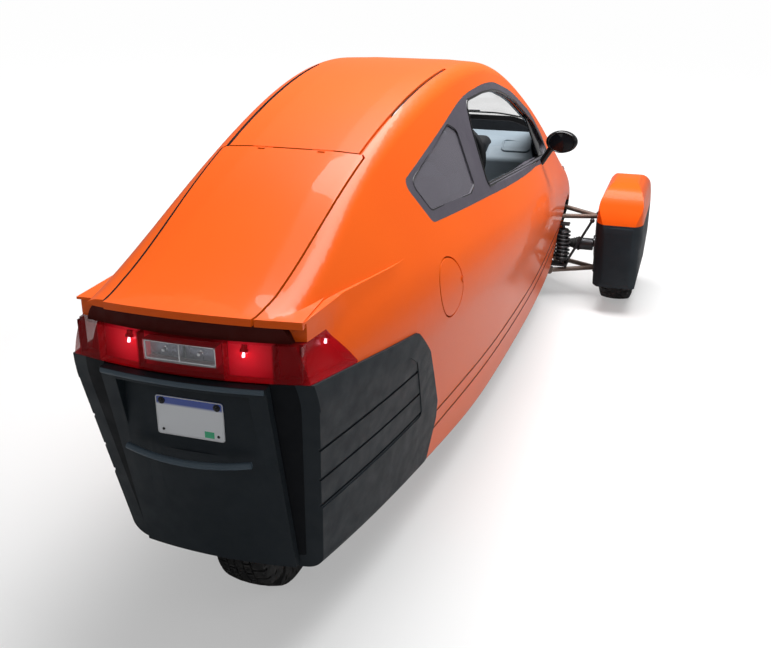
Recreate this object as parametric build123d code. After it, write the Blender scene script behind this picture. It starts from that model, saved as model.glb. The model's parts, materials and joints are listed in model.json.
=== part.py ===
from build123d import *
import os
from math import atan2, cos, degrees, hypot, radians, sin, tan

# Three wheeled car: two front wheels on outrigger arms, one rear wheel,
# two seats in line, a door on the left side only and a tail hatch.
# Frame: +X forward, +Y left, +Z up, origin on the ground at mid length.

# Running gear
WHEELBASE = 2794.0
FRONT_AXLE_X = 1286.0
REAR_AXLE_X = FRONT_AXLE_X - WHEELBASE
HALF_TRACK = 731.0
TYRE_RADIUS = 275.0
TYRE_WIDTH = 165.0
TYRE_SHOULDER = 34.0
RIM_RADIUS = 190.0
RIM_WIDTH = 136.0
RIM_WALL = 9.0
HUB_RADIUS = 62.0
SPOKES = 8
SPOKE_WIDTH = 30.0
SPOKE_DEPTH = 18.0

# Spans that reach past the body, for cutting
ACROSS = (-600.0, 600.0)
UPWARD = (0.0, 1500.0)
BEHIND_X = -2400.0
TAIL_X = -2100.0
INNER_Y = 20.0
LAMP_INNER_Y = 150.0

# Walls and gaps
SKIN = 34.0
PANEL_GAP = 6.0
GLASS_INSET = 4.0
GLASS_THICKNESS = 6.0
CLADDING_PROUD = 7.0

# Body sections: x, then half width and height of the corners at the bottom, waist, rail and crown,
# then a factor on the corner radii
SECTIONS = [
    # x     y_bot z_bot  y_wst z_wst  y_rail z_rail  y_crn z_crn  round
    (-2015, 236, 300,    306, 840,    250, 1000,     160, 1012,   1.0),
    (-1850, 262, 282,    340, 846,    252, 1030,     150, 1040,   1.0),
    (-1500, 318, 258,    408, 850,    236, 1165,     130, 1172,   1.0),
    (-1100, 356, 225,    462, 832,    240, 1290,     130, 1296,   1.0),
    (-650,  386, 190,    506, 800,    262, 1366,     140, 1371,   1.0),
    (-200,  400, 178,    526, 770,    274, 1366,     140, 1371,   1.0),
    (300,   408, 175,    516, 722,    284, 1250,     150, 1278,   1.0),
    (800,   404, 175,    472, 640,    314, 1040,     170, 1084,   1.0),
    (1250,  385, 180,    452, 548,    318, 842,      180, 898,    1.0),
    (1650,  350, 195,    420, 500,    284, 706,      160, 752,    1.0),
    (1900,  280, 225,    345, 470,    232, 600,      130, 632,    0.8),
    (2013,  165, 272,    208, 452,    145, 510,      70, 527,     0.5),
]
# Shoulder over the rear wheel: a wedge with its crease running forward from the ducktail's corner
SHOULDER = [
    # x     y_crease z_crease  y_low z_low
    (-1938, 290, 996,          288, 900),
    (-1708, 302, 994,          336, 892),
    (-1464, 345, 985,          376, 900),
    (-1250, 367, 980,          395, 905),
]
SHOULDER_INNER_Y = 150.0
SHOULDER_RISE = 4.0

# Sill: steps along the lower side, each with its top edge and how far it stands out
SILL_X = (-1160.0, 1040.0)
SILL_STEPS = [
    # z_top  proud
    (418.0, 2.5),
    (358.0, 5.0),
]

# Roof slots, from the hatch's front corners forward, in plan, left half, (x, y)
ROOF_SLOT = [(-1310, 204), (-900, 219), (-520, 234), (-500, 228), (-520, 222), (-900, 207), (-1310, 193)]
ROOF_SLOT_DEPTH = 10.0
RADIUS_BOTTOM = 40.0
RADIUS_WAIST = 380.0
RADIUS_RAIL = 70.0
RADIUS_CROWN = 200.0
RADIUS_LEAST = 5.0
CORNER_SHARE = 0.46

# Tail: the rear face is an arc in plan, upright above the bumper line and leaning forward below it
TAIL_CENTRE_X = -1986.0
TAIL_CORNER_X = -1950.0
TAIL_CORNER_Y = 294.0
TAIL_BEND_Z = 851.6
TAIL_LEAN = 0.231
NOSE_INNER_X = 2000.0

# Lamp band across the tail and round its corners
LAMP_LOW_Z = 852.0
LAMP_TOP_Z = 945.0
LAMP_FRONT_LOW_X = -1740.0
LAMP_FRONT_TOP_X = -1834.0
LAMP_FRONT_LOW_Z = 830.0
REVERSE_HALF_WIDTH = 93.0
REVERSE_LOW_Z = 880.0
REVERSE_TOP_Z = 930.0

# Ducktail: a curved lip over the lamps, its middle part on the hatch
DUCK_REAR_X = -2013.0
DUCK_CORNER_X = -1940.0
DUCK_CORNER_Y = 290.0
DUCK_FRONT_X = -1760.0
DUCK_FRONT_Y = 276.0
DUCK_TOP_Z = 1020.0
DUCK_CORNER_Z = 997.0
DUCK_THICKNESS = 18.0
TAIL_PANEL_INSET = 14.0
TAIL_PANEL_THICKNESS = 16.0
TAIL_PANEL_TOP_Z = 990.0

# Bumper panel between the tail corners, with the recess and plate
BUMPER_HALF_WIDTH = 214.0
BUMPER_TOP_Z = 846.0
BUMPER_LOW_Z = 287.0
BUMPER_PROUD = 22.0
BUMPER_THICKNESS = 26.0
RECESS_HALF_WIDTH = 172.0
RECESS_LOW_Z = 640.0
RECESS_TOP_Z = 822.0
RECESS_X = -1957.0
RECESS_WALL = 8.0
PLATE_WIDTH = 178.0
PLATE_HEIGHT = 102.0
PLATE_THICKNESS = 1.5
PLATE_Z = 728.0
PLATE_BOLT_SPACING_Y = 146.0
PLATE_BOLT_SPACING_Z = 76.0
PLATE_BOLT_RADIUS = 3.5

# Outlines in side view, (x, z)
CLADDING = [(-2100, 851.5), (-1950, 851.5), (-1740, 829.5), (-1429, 793), (-1329, 699), (-1172, 470),
            (-1150, 397), (-1166, 240), (-1166, 120), (-2100, 120)]
FRAME = [
    # x     z     corner radius
    (-1206, 1147, 25),
    (-1138, 1019, 30),
    (-660,  988,  400),
    (150,   920,  900),
    (700,   838,  120),
    (850,   822,  40),
    (800,   935,  300),
    (640,   1056, 900),
    (244,   1205, 1500),
    (-103,  1288, 1500),
    (-305,  1300, 1200),
    (-562,  1297, 1500),
]
QUARTER = [(-1160, 1138), (-1112, 1050), (-800, 1030), (-745, 1045), (-715, 1210), (-770, 1236)]
FRONT_WINDOW = [
    # x     z     corner radius
    (-620,  1012, 26),
    (150,   938,  900),
    (700,   856,  26),
    (755,   900,  30),
    (600,   1025, 400),
    (230,   1172, 1500),
    (-103,  1256, 1500),
    (-305,  1274, 900),
    (-530,  1276, 60),
    (-570,  1200, 200),
]
DOOR = [
    # x     z     corner radius
    (-700,  960,  150),
    (-670,  330,  60),
    (-580,  290,  60),
    (760,   290,  60),
    (860,   340,  60),
    (890,   520,  150),
    (890,   790,  150),
    (820,   950,  300),
    (646,   1072, 900),
    (250,   1222, 1500),
    (-103,  1304, 1500),
    (-305,  1317, 1200),
    (-640,  1314, 60),
]
LANDS = [(-2100, 792), (-1475, 737), (-1418, 700), (-1300, 480), (-2100, 480)]
LAND_GROOVE_Z = (660.0, 569.0, 486.0)
LAND_GROOVE = 9.0
LAND_DEPTH = 2.5
LAND_GROOVE_DEPTH = 6.5
DOOR_TRIM = [(-620, 930), (-600, 350), (740, 350), (830, 420), (840, 780), (500, 830)]
DASH = [(560, 650), (590, 850), (680, 890), (1000, 905), (1040, 860), (1040, 680), (760, 640)]
HEADLAMP = [(1490, 668), (1560, 690), (1835, 590), (1862, 520), (1800, 500), (1650, 585)]
BAY = [(1080, 250), (1120, 140), (1500, 140), (1530, 260), (1470, 470), (1400, 515), (1180, 515), (1110, 440)]

# Outlines in plan, left half, (x, y)
HATCH = [(-1296, 211), (-1880, 195), (-2100, 176)]
HOOD = [(1172, 296), (1560, 258), (1800, 200)]
WINDSCREEN = [(140, 214), (700, 266), (1090, 296)]
UNDERBODY = [(-1160, 290), (-650, 340), (300, 355), (1250, 335), (1650, 300), (1900, 225), (1950, 160)]
LID_LOW_Z = 500.0
SEAM = 0.3

# Hinges: the axis of each lies in the middle of its panel gap, at the panels' outer surface
HINGE_LENGTH = 20.0
HINGE_CLEARANCE = 0.5
DOOR_HINGE = (893.0, 453.0)
DOOR_HINGE_Z = (556.0, 616.0)
HATCH_HINGE = (-1293.0, 1241.0)
HATCH_HINGE_Y = (-90.0, 90.0)
HOOD_HINGE = (1169.0, 926.0)
HOOD_HINGE_Y = (-90.0, 90.0)
FLAP_HINGE = (-1078.5, -445.0)
FLAP_HINGE_LENGTH = 14.0

# Nose grille
GRILLE_HALF_WIDTH = 125.0
GRILLE_LOW_Z = 335.0
GRILLE_TOP_Z = 445.0
GRILLE_SLATS = 6
GRILLE_RIBS = 5
GRILLE_BAR = 5.0

# Fuel flap, right side
FLAP_X = -1165.0
FLAP_Z = 838.0
FLAP_RADIUS = 84.0
FLAP_GAP = 5.0
FLAP_THICKNESS = 12.0
FLAP_RECESS = 26.0

# Cabin
TRIM_THICKNESS = 10.0
DASH_ROUND = 30.0
DASH_GAP = 20.0
PLATE_WALL = 12.0
FIREWALL_X = 1046.0
BULKHEAD_X = -1160.0
BULKHEAD_TOP_Z = 690.0
BOOT_FLOOR_Z = 640.0
WHEEL_CENTRE = (430.0, 0.0, 860.0)
COLUMN_TILT = 21.0
SEAT_FRAME = [(-60, 150), (-200, 330), (-470, 940), (-430, 955), (-196, 352), (420, 318), (430, 286), (100, 262),
              (90, 150)]
FRONT_CUSHION = [(-150, 320), (-130, 460), (380, 456), (440, 420), (425, 300)]
FRONT_BACKREST = [(-260, 430), (-205, 468), (-150, 478), (-318, 950), (-350, 990), (-440, 960)]
REAR_CUSHION = [(-1000, 150), (-1000, 420), (-560, 440), (-500, 400), (-520, 150)]
REAR_BACKREST = [(-1110, 400), (-930, 400), (-1010, 940), (-1060, 960), (-1110, 930)]
COLUMN_RADIUS = 18.0
STEERING_RADIUS = 165.0
STEERING_RIM = 13.0

# Front suspension and steering
KINGPIN_Y = 612.0
UPPER_JOINT_Z = 418.0
LOWER_JOINT_Z = 162.0
UPPER_PIVOT_Y = 385.0
UPPER_PIVOT_Z = 445.0
LOWER_PIVOT_Y = 385.0
LOWER_PIVOT_Z = 150.0
ARM_SPREAD = 115.0
ARM_RADIUS = 12.0
EYE_RADIUS = 16.0
EYE_HEIGHT = 24.0
PIN_RADIUS = 8.0
RUNNING_FIT = 0.05
UPRIGHT_HALF_X = 26.0
UPRIGHT_HALF_Y = 14.0
BEARING_RADIUS = 62.0
BEARING_DEPTH = 40.0
CAVITY_RADIUS = 44.0
SPINDLE_RADIUS = 20.0
SPINDLE_LENGTH = 150.0
STEER_ARM = 125.0
TIE_ROD_Z = 252.0
TIE_ROD_RADIUS = 8.0
RACK_RADIUS = 11.0
RACK_HALF = 330.0
RACK_HOUSING_RADIUS = 22.0
RACK_HOUSING_HALF = 250.0
SHAFT_RADIUS = 12.0
SHAFT_BALL_RADIUS = 24.0
DAMPER_RADIUS = 30.0
SUBFRAME_Y = 368.7
SUBFRAME_Z = (150.0, 500.0)
SUBFRAME_BAR = 30.0
SUBFRAME_WALL = 14.0

# Front wheel pods, measured from the wheel's own centre plane and the ground
POD_PROFILE = [(-300, 100), (-312, 300), (-296, 480), (-215, 620), (-60, 655), (110, 648), (270, 560), (338, 400),
               (345, 250), (330, 100)]
POD_FRONT_VIEW = [(-106, 60), (-110, 300), (-111, 480), (-98, 585), (-62, 640), (-20, 656), (45, 656), (88, 632),
                  (110, 585), (118, 470), (116, 300), (98, 60)]
POD_SIDE_ROUND = 260.0
POD_FRONT_ROUND = 120.0
POD_HALF_LENGTH = 329.0
POD_HALF_WIDTH = 115.0
POD_PLAN_RADIUS = 95.0
POD_PLAN_SHIFT = 16.0
POD_WALL = 9.0
POD_SPLIT_Z = 466.0
POD_LOW_Z = 140.0
POD_REACH = 400.0
POD_HIGH = 1000.0
POD_DOORWAY_HALF = 86.0
POD_DOORWAY_TOP_Z = 458.0

# Rear swing arm
SWING_PIVOT_X = -1186.0
SWING_PIVOT_Z = 330.0
SWING_HALF = 118.0
SWING_RADIUS = 18.0
REAR_SPINDLE_RADIUS = 14.0

ENGINE_X = (1160.0, 1378.0)
ENGINE_HALF_WIDTH = 200.0
ENGINE_Z = (150.0, 600.0)


def rounded(points, radii):
    """A closed outline with each corner rounded by an arc, as a face."""
    corners = []
    count = len(points)
    for i in range(count):
        before, here, after = (Vector(*points[k % count], 0) for k in (i - 1, i, i + 1))
        back = before - here
        ahead = after - here
        half = radians(back.get_angle(ahead)) / 2
        cut = min(radii[i] / tan(half), CORNER_SHARE * min(back.length, ahead.length))
        radius = cut * tan(half)
        middle = here + (back.normalized() + ahead.normalized()).normalized() * (radius / sin(half) - radius)
        corners.append((here + back.normalized() * cut, middle, here + ahead.normalized() * cut))
    edges = []
    for i, (start, middle, end) in enumerate(corners):
        edges.append(ThreePointArc(start, middle, end))
        edges.append(Line(end, corners[(i + 1) % count][0]))
    return make_face(edges)


def inset_polygon(points, distance):
    """The convex polygon moved inward by a distance, corner by corner."""
    moved = []
    count = len(points)
    for i in range(count):
        (ax, ay), (bx, by), (cx, cy) = points[i - 1], points[i], points[(i + 1) % count]
        first = hypot(bx - ax, by - ay)
        second = hypot(cx - bx, cy - by)
        n1 = ((ay - by) / first, (bx - ax) / first)
        n2 = ((by - cy) / second, (cx - bx) / second)
        share = distance / (1 + n1[0] * n2[0] + n1[1] * n2[1])
        moved.append((bx + share * (n1[0] + n2[0]), by + share * (n1[1] + n2[1])))
    return moved


def body_section(row, inset):
    """One cross-section of the body, moved inward by a distance."""
    x, y_bottom, z_bottom, y_waist, z_waist, y_rail, z_rail, y_crown, z_crown, factor = row
    half = [(y_bottom, z_bottom), (y_waist, z_waist), (y_rail, z_rail), (y_crown, z_crown)]
    points = inset_polygon(half + [(-y, z) for y, z in reversed(half)], inset)
    radii = [max(r * factor - inset, RADIUS_LEAST) for r in (RADIUS_BOTTOM, RADIUS_WAIST, RADIUS_RAIL, RADIUS_CROWN)]
    return Plane.YZ.offset(x) * rounded(points, radii + radii[::-1])


def top_prism(face, z_low, z_high):
    """An outline in plan, extruded upward."""
    return Pos(0, 0, z_low) * extrude(face, amount=z_high - z_low, dir=(0, 0, 1))


def side_prism(face, y_from, y_to):
    """An outline in side view, extruded from one y to another."""
    return Pos(0, y_from, 0) * extrude(Plane.XZ * face, amount=y_to - y_from, dir=(0, 1, 0))


def outline(points, radius):
    """A closed outline with one corner radius."""
    return rounded(points, [radius] * len(points))


def outlined(rows):
    """A closed outline from rows that name each corner's radius."""
    return rounded([(x, z) for x, z, _ in rows], [radius for _, _, radius in rows])


def mirrored(points):
    """The left half of a top outline joined to its mirror image."""
    return points + [(x, -y) for x, y in reversed(points) if y > 0]


def both(shape):
    """A left-hand shape and its mirror image."""
    return [shape, mirror(shape, about=Plane.XZ)]


def biggest(shape):
    """The largest solid of a result."""
    return max(shape.solids(), key=lambda solid: solid.volume)


def save(name, *shapes):
    """Writes one node."""
    solids = [solid for shape in shapes for solid in shape.solids()]
    export_step(Compound(children=solids) if len(solids) > 1 else solids[0], f"parts/{name}.step")


def tail_cutter(inset):
    """All that lies behind the rear face, moved forward by a distance."""
    far = BEHIND_X
    side = ACROSS[1]
    arc = ThreePointArc((TAIL_CORNER_X + inset, TAIL_CORNER_Y), (TAIL_CENTRE_X + inset, 0),
                        (TAIL_CORNER_X + inset, -TAIL_CORNER_Y))
    slope = (TAIL_CORNER_X - TAIL_CENTRE_X) * 2 / TAIL_CORNER_Y
    corner_x = TAIL_CORNER_X + inset + slope * (side - TAIL_CORNER_Y)
    rest = Polyline((TAIL_CORNER_X + inset, -TAIL_CORNER_Y), (corner_x, -side), (far, -side), (far, side),
                    (corner_x, side), (TAIL_CORNER_X + inset, TAIL_CORNER_Y))
    face = Pos(0, 0, TAIL_BEND_Z) * make_face([arc, *rest.edges()])
    reach = 800.0
    lower = extrude(face, amount=reach * hypot(1, TAIL_LEAN), dir=(TAIL_LEAN, 0, -1))
    return lower, extrude(face, amount=reach)


def form(inset):
    """The body's closed form, moved inward by a distance."""
    return loft([body_section(row, inset) for row in SECTIONS])


def body(inset):
    """The body's closed form, moved inward by a distance and trimmed at the tail."""
    return form(inset) - list(tail_cutter(max(inset, 0)))


def slab(x, y, z):
    """A box from three spans."""
    return Pos((x[0] + x[1]) / 2, (y[0] + y[1]) / 2, (z[0] + z[1]) / 2) * Box(x[1] - x[0], y[1] - y[0], z[1] - z[0])


def rod(start, end, radius):
    """A round bar from one point to another."""
    start = Vector(*start)
    end = Vector(*end)
    return Plane(origin=start, z_dir=end - start) * extrude(Circle(radius), amount=(end - start).length)


def grow(face, distance):
    """An outline moved outward."""
    return offset(face, amount=distance)


def left_prism(face, y_from=INNER_Y):
    """A side outline through the left wall."""
    return side_prism(face, y_from, ACROSS[1])


def right_prism(face):
    """A side outline through the right wall."""
    return side_prism(face, ACROSS[0], -INNER_Y)


def both_prisms(face):
    """A side outline through both walls."""
    return side_prism(face, *ACROSS)


def ducktail():
    """The ducktail across the tail: an arched lip with a curved rear edge."""
    rear = ThreePointArc((DUCK_CORNER_X, DUCK_CORNER_Y), (DUCK_REAR_X, 0), (DUCK_CORNER_X, -DUCK_CORNER_Y))
    rest = Polyline((DUCK_CORNER_X, -DUCK_CORNER_Y), (DUCK_FRONT_X, -DUCK_FRONT_Y), (DUCK_FRONT_X, DUCK_FRONT_Y),
                    (DUCK_CORNER_X, DUCK_CORNER_Y))
    plan = top_prism(make_face([rear, *rest.edges()]), 900, 1100)
    side = DUCK_CORNER_Y + 10
    top = ThreePointArc((side, DUCK_CORNER_Z), (0, DUCK_TOP_Z), (-side, DUCK_CORNER_Z))
    low = ThreePointArc((-side, DUCK_CORNER_Z - DUCK_THICKNESS), (0, DUCK_TOP_Z - DUCK_THICKNESS),
                        (side, DUCK_CORNER_Z - DUCK_THICKNESS))
    ends = [Line(top @ 1, low @ 0), Line(low @ 1, top @ 0)]
    band = extrude(Plane.YZ.offset(DUCK_REAR_X - 10) * make_face([top, ends[0], low, ends[1]]), amount=300)
    return (band & plan) - (form(SKIN) & slab((-1890, 0), ACROSS, UPWARD))


def shoulder():
    """The wedge that carries the shoulder crease on the left side."""
    sections = []
    for x, y_crease, z_crease, y_low, z_low in SHOULDER:
        corners = [(SHOULDER_INNER_Y, z_crease + SHOULDER_RISE), (y_crease, z_crease), (y_low, z_low),
                   (SHOULDER_INNER_Y, z_low)]
        sections.append(Plane.YZ.offset(x) * make_face(Polyline(*corners, close=True)))
    return loft(sections, ruled=True)


def sills():
    """The stepped sills of both sides."""
    return [form(-proud) & slab(SILL_X, ACROSS, (0, z_top)) for z_top, proud in SILL_STEPS]


def hinge(centre, along, towards, gap, length=HINGE_LENGTH):
    """Three hinge knuckles in a row in a panel gap: the middle one moves, the fixed two go with the body."""
    plane = Plane(origin=centre, x_dir=towards, z_dir=along)
    radius = gap / 2 - HINGE_CLEARANCE
    knuckle = extrude(plane * Circle(radius), amount=length / 2, both=True)
    leaf = Box(2 * gap, radius, length)
    shift = Vector(*along).normalized() * (length + SEAM)
    fixed = knuckle + plane * Pos(-gap, 0, 0) * leaf
    return knuckle + plane * Pos(gap, 0, 0) * leaf, [Pos(*shift) * fixed, Pos(*(-shift)) * fixed]


outer = body(0) + both(shoulder()) + sills()
inner = body(SKIN) & slab((BEHIND_X, NOSE_INNER_X), ACROSS, UPWARD)
cabin = body(SKIN + SEAM) & slab((BEHIND_X, NOSE_INNER_X), ACROSS, UPWARD)
shell = outer - inner
glass_skin = body(GLASS_INSET) - body(GLASS_INSET + GLASS_THICKNESS)

# Faces of the panels
frame_face = outlined(FRAME)
quarter_face = outline(QUARTER, 20)
window_face = outlined(FRONT_WINDOW)
door_face = outlined(DOOR)
hatch_face = outline(mirrored(HATCH), 12)
hood_face = outline(mirrored(HOOD), 40)
screen_face = outline(mirrored(WINDSCREEN), 60)
cladding_face = outline(CLADDING, 30)
lamp_face = outline([(TAIL_X, LAMP_LOW_Z), (TAIL_CORNER_X, LAMP_LOW_Z), (LAMP_FRONT_LOW_X, LAMP_FRONT_LOW_Z),
                     (LAMP_FRONT_TOP_X, LAMP_TOP_Z), (TAIL_X, LAMP_TOP_Z)], 4)
headlamp_face = outline(HEADLAMP, 18)
bay_face = outline(BAY, 30)
cuts = []
extras = []


def tail_lids():
    """The hatch with the middle of the ducktail, and the ducktail's outer lips."""
    duck = ducktail()
    panel = biggest(shell & top_prism(hatch_face, DUCK_TOP_Z - DUCK_THICKNESS, UPWARD[1]))
    panel = panel + (duck & top_prism(hatch_face, 900, 1100))
    for y in HATCH_HINGE_Y:
        moving, fixed = hinge((HATCH_HINGE[0], y, HATCH_HINGE[1]), (0, 1, 0), (-1, 0, 0), PANEL_GAP)
        panel = panel + moving
        extras.extend(fixed)
    save("hatch", biggest(panel))
    clear = top_prism(grow(hatch_face, PANEL_GAP), LAMP_TOP_Z, UPWARD[1])
    cuts.append(clear)
    strip = form(TAIL_PANEL_INSET) & slab((TAIL_X, -1880), ACROSS, (LAMP_TOP_Z + SEAM, TAIL_PANEL_TOP_Z))
    strip = (strip & tail_cutter(TAIL_PANEL_INSET + TAIL_PANEL_THICKNESS)[1]) - tail_cutter(TAIL_PANEL_INSET)[1]
    save("tail_panel", biggest(strip - duck))
    behind = tail_cutter(TAIL_PANEL_INSET + TAIL_PANEL_THICKNESS + SEAM)[1]
    cuts.append(behind & slab((TAIL_X, -1880), ACROSS, (LAMP_TOP_Z, TAIL_PANEL_TOP_Z)))
    return duck - clear


def front_lids():
    """The hood and the windscreen."""
    lid = biggest(shell & top_prism(hood_face, LID_LOW_Z, UPWARD[1]))
    for y in HOOD_HINGE_Y:
        moving, fixed = hinge((HOOD_HINGE[0], y, HOOD_HINGE[1]), (0, 1, 0), (1, 0, 0), PANEL_GAP)
        lid = lid + moving
        extras.extend(fixed)
    save("hood", biggest(lid))
    save("windscreen", biggest(glass_skin & top_prism(screen_face, LID_LOW_Z, UPWARD[1])))
    cuts.append(top_prism(grow(hood_face, PANEL_GAP), LID_LOW_Z, UPWARD[1]))
    cuts.append(top_prism(grow(screen_face, SEAM), LID_LOW_Z, UPWARD[1]))


def door():
    """The door on the left side with its window frame, glass and inner panel."""
    whole = shell & left_prism(door_face)
    panel = biggest(whole - left_prism(grow(frame_face, SEAM)))
    for z in DOOR_HINGE_Z:
        moving, fixed = hinge((*DOOR_HINGE, z), (0, 0, 1), (-1, 0, 0), PANEL_GAP)
        panel = panel + moving
        extras.extend(fixed)
    save("door_left", biggest(panel))
    save("door_window_frame", biggest((whole & left_prism(frame_face)) - left_prism(window_face)))
    save("door_glass", biggest(glass_skin & left_prism(grow(window_face, -SEAM))))
    lining = cabin - body(SKIN + SEAM + TRIM_THICKNESS)
    save("door_trim", biggest(lining & left_prism(outline(DOOR_TRIM, 50))))
    cuts.append(left_prism(grow(door_face, PANEL_GAP)))


def roof_slots():
    """The two slots that run forward from the hatch."""
    slot = top_prism(outline(ROOF_SLOT, 3), 1000, UPWARD[1]) - body(ROOF_SLOT_DEPTH)
    cuts.extend(both(slot))


def side_windows():
    """The fixed window frames and the quarter glass."""
    right = (shell & right_prism(frame_face)) - right_prism(quarter_face) - right_prism(window_face)
    save("window_frame_right", biggest(right))
    left = (shell & left_prism(frame_face)) - left_prism(grow(door_face, PANEL_GAP)) - left_prism(quarter_face)
    save("quarter_frame_left", biggest(left))
    save("quarter_glasses", *both(biggest(glass_skin & left_prism(grow(quarter_face, -SEAM)))))
    cuts.append(both_prisms(grow(frame_face, SEAM)))


def tail():
    """The lamps, side cladding, tail corners and bumper."""
    reverse_box = slab((TAIL_X, -1900), (-REVERSE_HALF_WIDTH, REVERSE_HALF_WIDTH), (REVERSE_LOW_Z, REVERSE_TOP_Z))
    band = shell & both_prisms(lamp_face)
    save("tail_lamp", biggest(band - reverse_box))
    lens_half = REVERSE_HALF_WIDTH - SEAM
    lens_box = slab((TAIL_X, -1900), (-lens_half, lens_half), (REVERSE_LOW_Z + SEAM, REVERSE_TOP_Z - SEAM))
    save("reverse_lamp", biggest(band & lens_box))
    cuts.append(both_prisms(grow(lamp_face, SEAM)))

    lamp_clear = left_prism(grow(lamp_face, SEAM))
    bumper_half = BUMPER_HALF_WIDTH + SEAM
    bumper_clear = tail_cutter(BUMPER_THICKNESS - BUMPER_PROUD + SEAM)[0] & slab(
        (TAIL_X, -1700), (-bumper_half, bumper_half), (BUMPER_LOW_Z - SEAM, BUMPER_TOP_Z + SEAM))
    region = left_prism(cladding_face, LAMP_INNER_Y) - lamp_clear - tail_cutter(0)[0] - bumper_clear
    cladding = biggest((form(-CLADDING_PROUD) & region) - form(SKIN))
    lands_face = outline(LANDS, 14)
    lands = left_prism(lands_face, LAMP_INNER_Y) - form(LAND_DEPTH - CLADDING_PROUD)
    grooves = [slab((TAIL_X, 0), (LAMP_INNER_Y, ACROSS[1]), (z, z + LAND_GROOVE)) for z in LAND_GROOVE_Z]
    grooves = (left_prism(lands_face, LAMP_INNER_Y) & (Part() + grooves)) - form(LAND_GROOVE_DEPTH - CLADDING_PROUD)
    cladding = biggest(cladding - lands - grooves)
    save("side_claddings", *both(cladding))
    cuts.append(both_prisms(grow(cladding_face, SEAM)))

    corner = slab((TAIL_X, -1700), (BUMPER_HALF_WIDTH + SEAM, 600), (BUMPER_LOW_Z, LAMP_LOW_Z - SEAM)) - lamp_clear
    corner = (corner & form(SKIN + SEAM) & tail_cutter(SKIN)[0]) - tail_cutter(0)[0]
    save("tail_corners", *both(biggest(corner)))

    sheet = tail_cutter(BUMPER_THICKNESS - BUMPER_PROUD)[0] - tail_cutter(-BUMPER_PROUD)[0]
    panel = sheet & slab((TAIL_X, -1700), (-BUMPER_HALF_WIDTH, BUMPER_HALF_WIDTH), (BUMPER_LOW_Z, BUMPER_TOP_Z))
    pocket_half = RECESS_HALF_WIDTH + RECESS_WALL
    pocket = slab((-2000, RECESS_X + RECESS_WALL), (-pocket_half, pocket_half),
                  (RECESS_LOW_Z - RECESS_WALL, RECESS_TOP_Z + RECESS_WALL)) - tail_cutter(-BUMPER_PROUD)[0]
    recess = slab((TAIL_X, RECESS_X), (-RECESS_HALF_WIDTH, RECESS_HALF_WIDTH), (RECESS_LOW_Z, RECESS_TOP_Z))
    holes = [Pos(RECESS_X, y, PLATE_Z + z) * Rot(0, 90, 0) * Cylinder(PLATE_BOLT_RADIUS, 60)
             for y in (-PLATE_BOLT_SPACING_Y / 2, PLATE_BOLT_SPACING_Y / 2)
             for z in (-PLATE_BOLT_SPACING_Z / 2, PLATE_BOLT_SPACING_Z / 2)]
    bumper = biggest(panel + pocket - recess - holes)
    save("rear_bumper", bumper)
    plate = Pos(RECESS_X - PLATE_THICKNESS / 2, 0, PLATE_Z) * Box(PLATE_THICKNESS, PLATE_WIDTH, PLATE_HEIGHT)
    save("number_plate", biggest(plate - holes))


def nose():
    """The headlamps and the grille."""
    lamp = biggest(shell & left_prism(headlamp_face, LAMP_INNER_Y))
    save("headlamps", *both(lamp))
    cuts.append(left_prism(grow(headlamp_face, SEAM), LAMP_INNER_Y))
    cuts.append(mirror(cuts[-1], about=Plane.XZ))
    height = GRILLE_TOP_Z - GRILLE_LOW_Z
    opening = RectangleRounded(2 * GRILLE_HALF_WIDTH, height, 40)
    middle_z = (GRILLE_TOP_Z + GRILLE_LOW_Z) / 2
    place = Plane.YZ.offset(1850) * Pos(0, middle_z)
    bars = [Pos(1950, 0, GRILLE_LOW_Z + height * (i + 0.5) / GRILLE_SLATS) * Box(240, 400, GRILLE_BAR)
            for i in range(GRILLE_SLATS)]
    bars += [Pos(1950, GRILLE_HALF_WIDTH * (2 * (i + 0.5) / GRILLE_RIBS - 1), middle_z) * Box(240, GRILLE_BAR, 200)
             for i in range(GRILLE_RIBS)]
    rim = extrude(place * (opening - offset(opening, amount=-GRILLE_BAR)), amount=240)
    mesh = Part() + bars
    region = extrude(place * opening, amount=240)
    save("grille", biggest(shell & ((mesh & region) + rim)))
    cuts.append(extrude(place * grow(opening, SEAM), amount=240))


def flap():
    """The fuel flap in its round recess."""
    turn = Pos(FLAP_X, -200, FLAP_Z) * Rot(90, 0, 0)
    disc = turn * extrude(Circle(FLAP_RADIUS), amount=500)
    moving, fixed = hinge((*FLAP_HINGE, FLAP_Z), (0, 0, 1), (-1, 0, 0), FLAP_GAP, FLAP_HINGE_LENGTH)
    save("fuel_flap", biggest(((outer - body(FLAP_THICKNESS)) & disc) + moving))
    extras.extend(fixed)
    hole = turn * extrude(Circle(FLAP_RADIUS + FLAP_GAP), amount=500)
    cuts.append(hole - body(FLAP_RECESS))


def body_shell(lips):
    """What is left of the shell once every panel is cut out of it."""
    under = shell & top_prism(make_face(Polyline(*mirrored(UNDERBODY), close=True)), 0, 300)
    bay = both_prisms(bay_face) - slab((0, 2000), (-300, 300), (0, 600))
    save("underbody", biggest(under - bay))
    cuts.append(top_prism(grow(make_face(Polyline(*mirrored(UNDERBODY), close=True)), SEAM), 0, 300))
    cuts.append(bay)
    save("body_shell", biggest(biggest(shell - cuts) + lips + extras))


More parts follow.
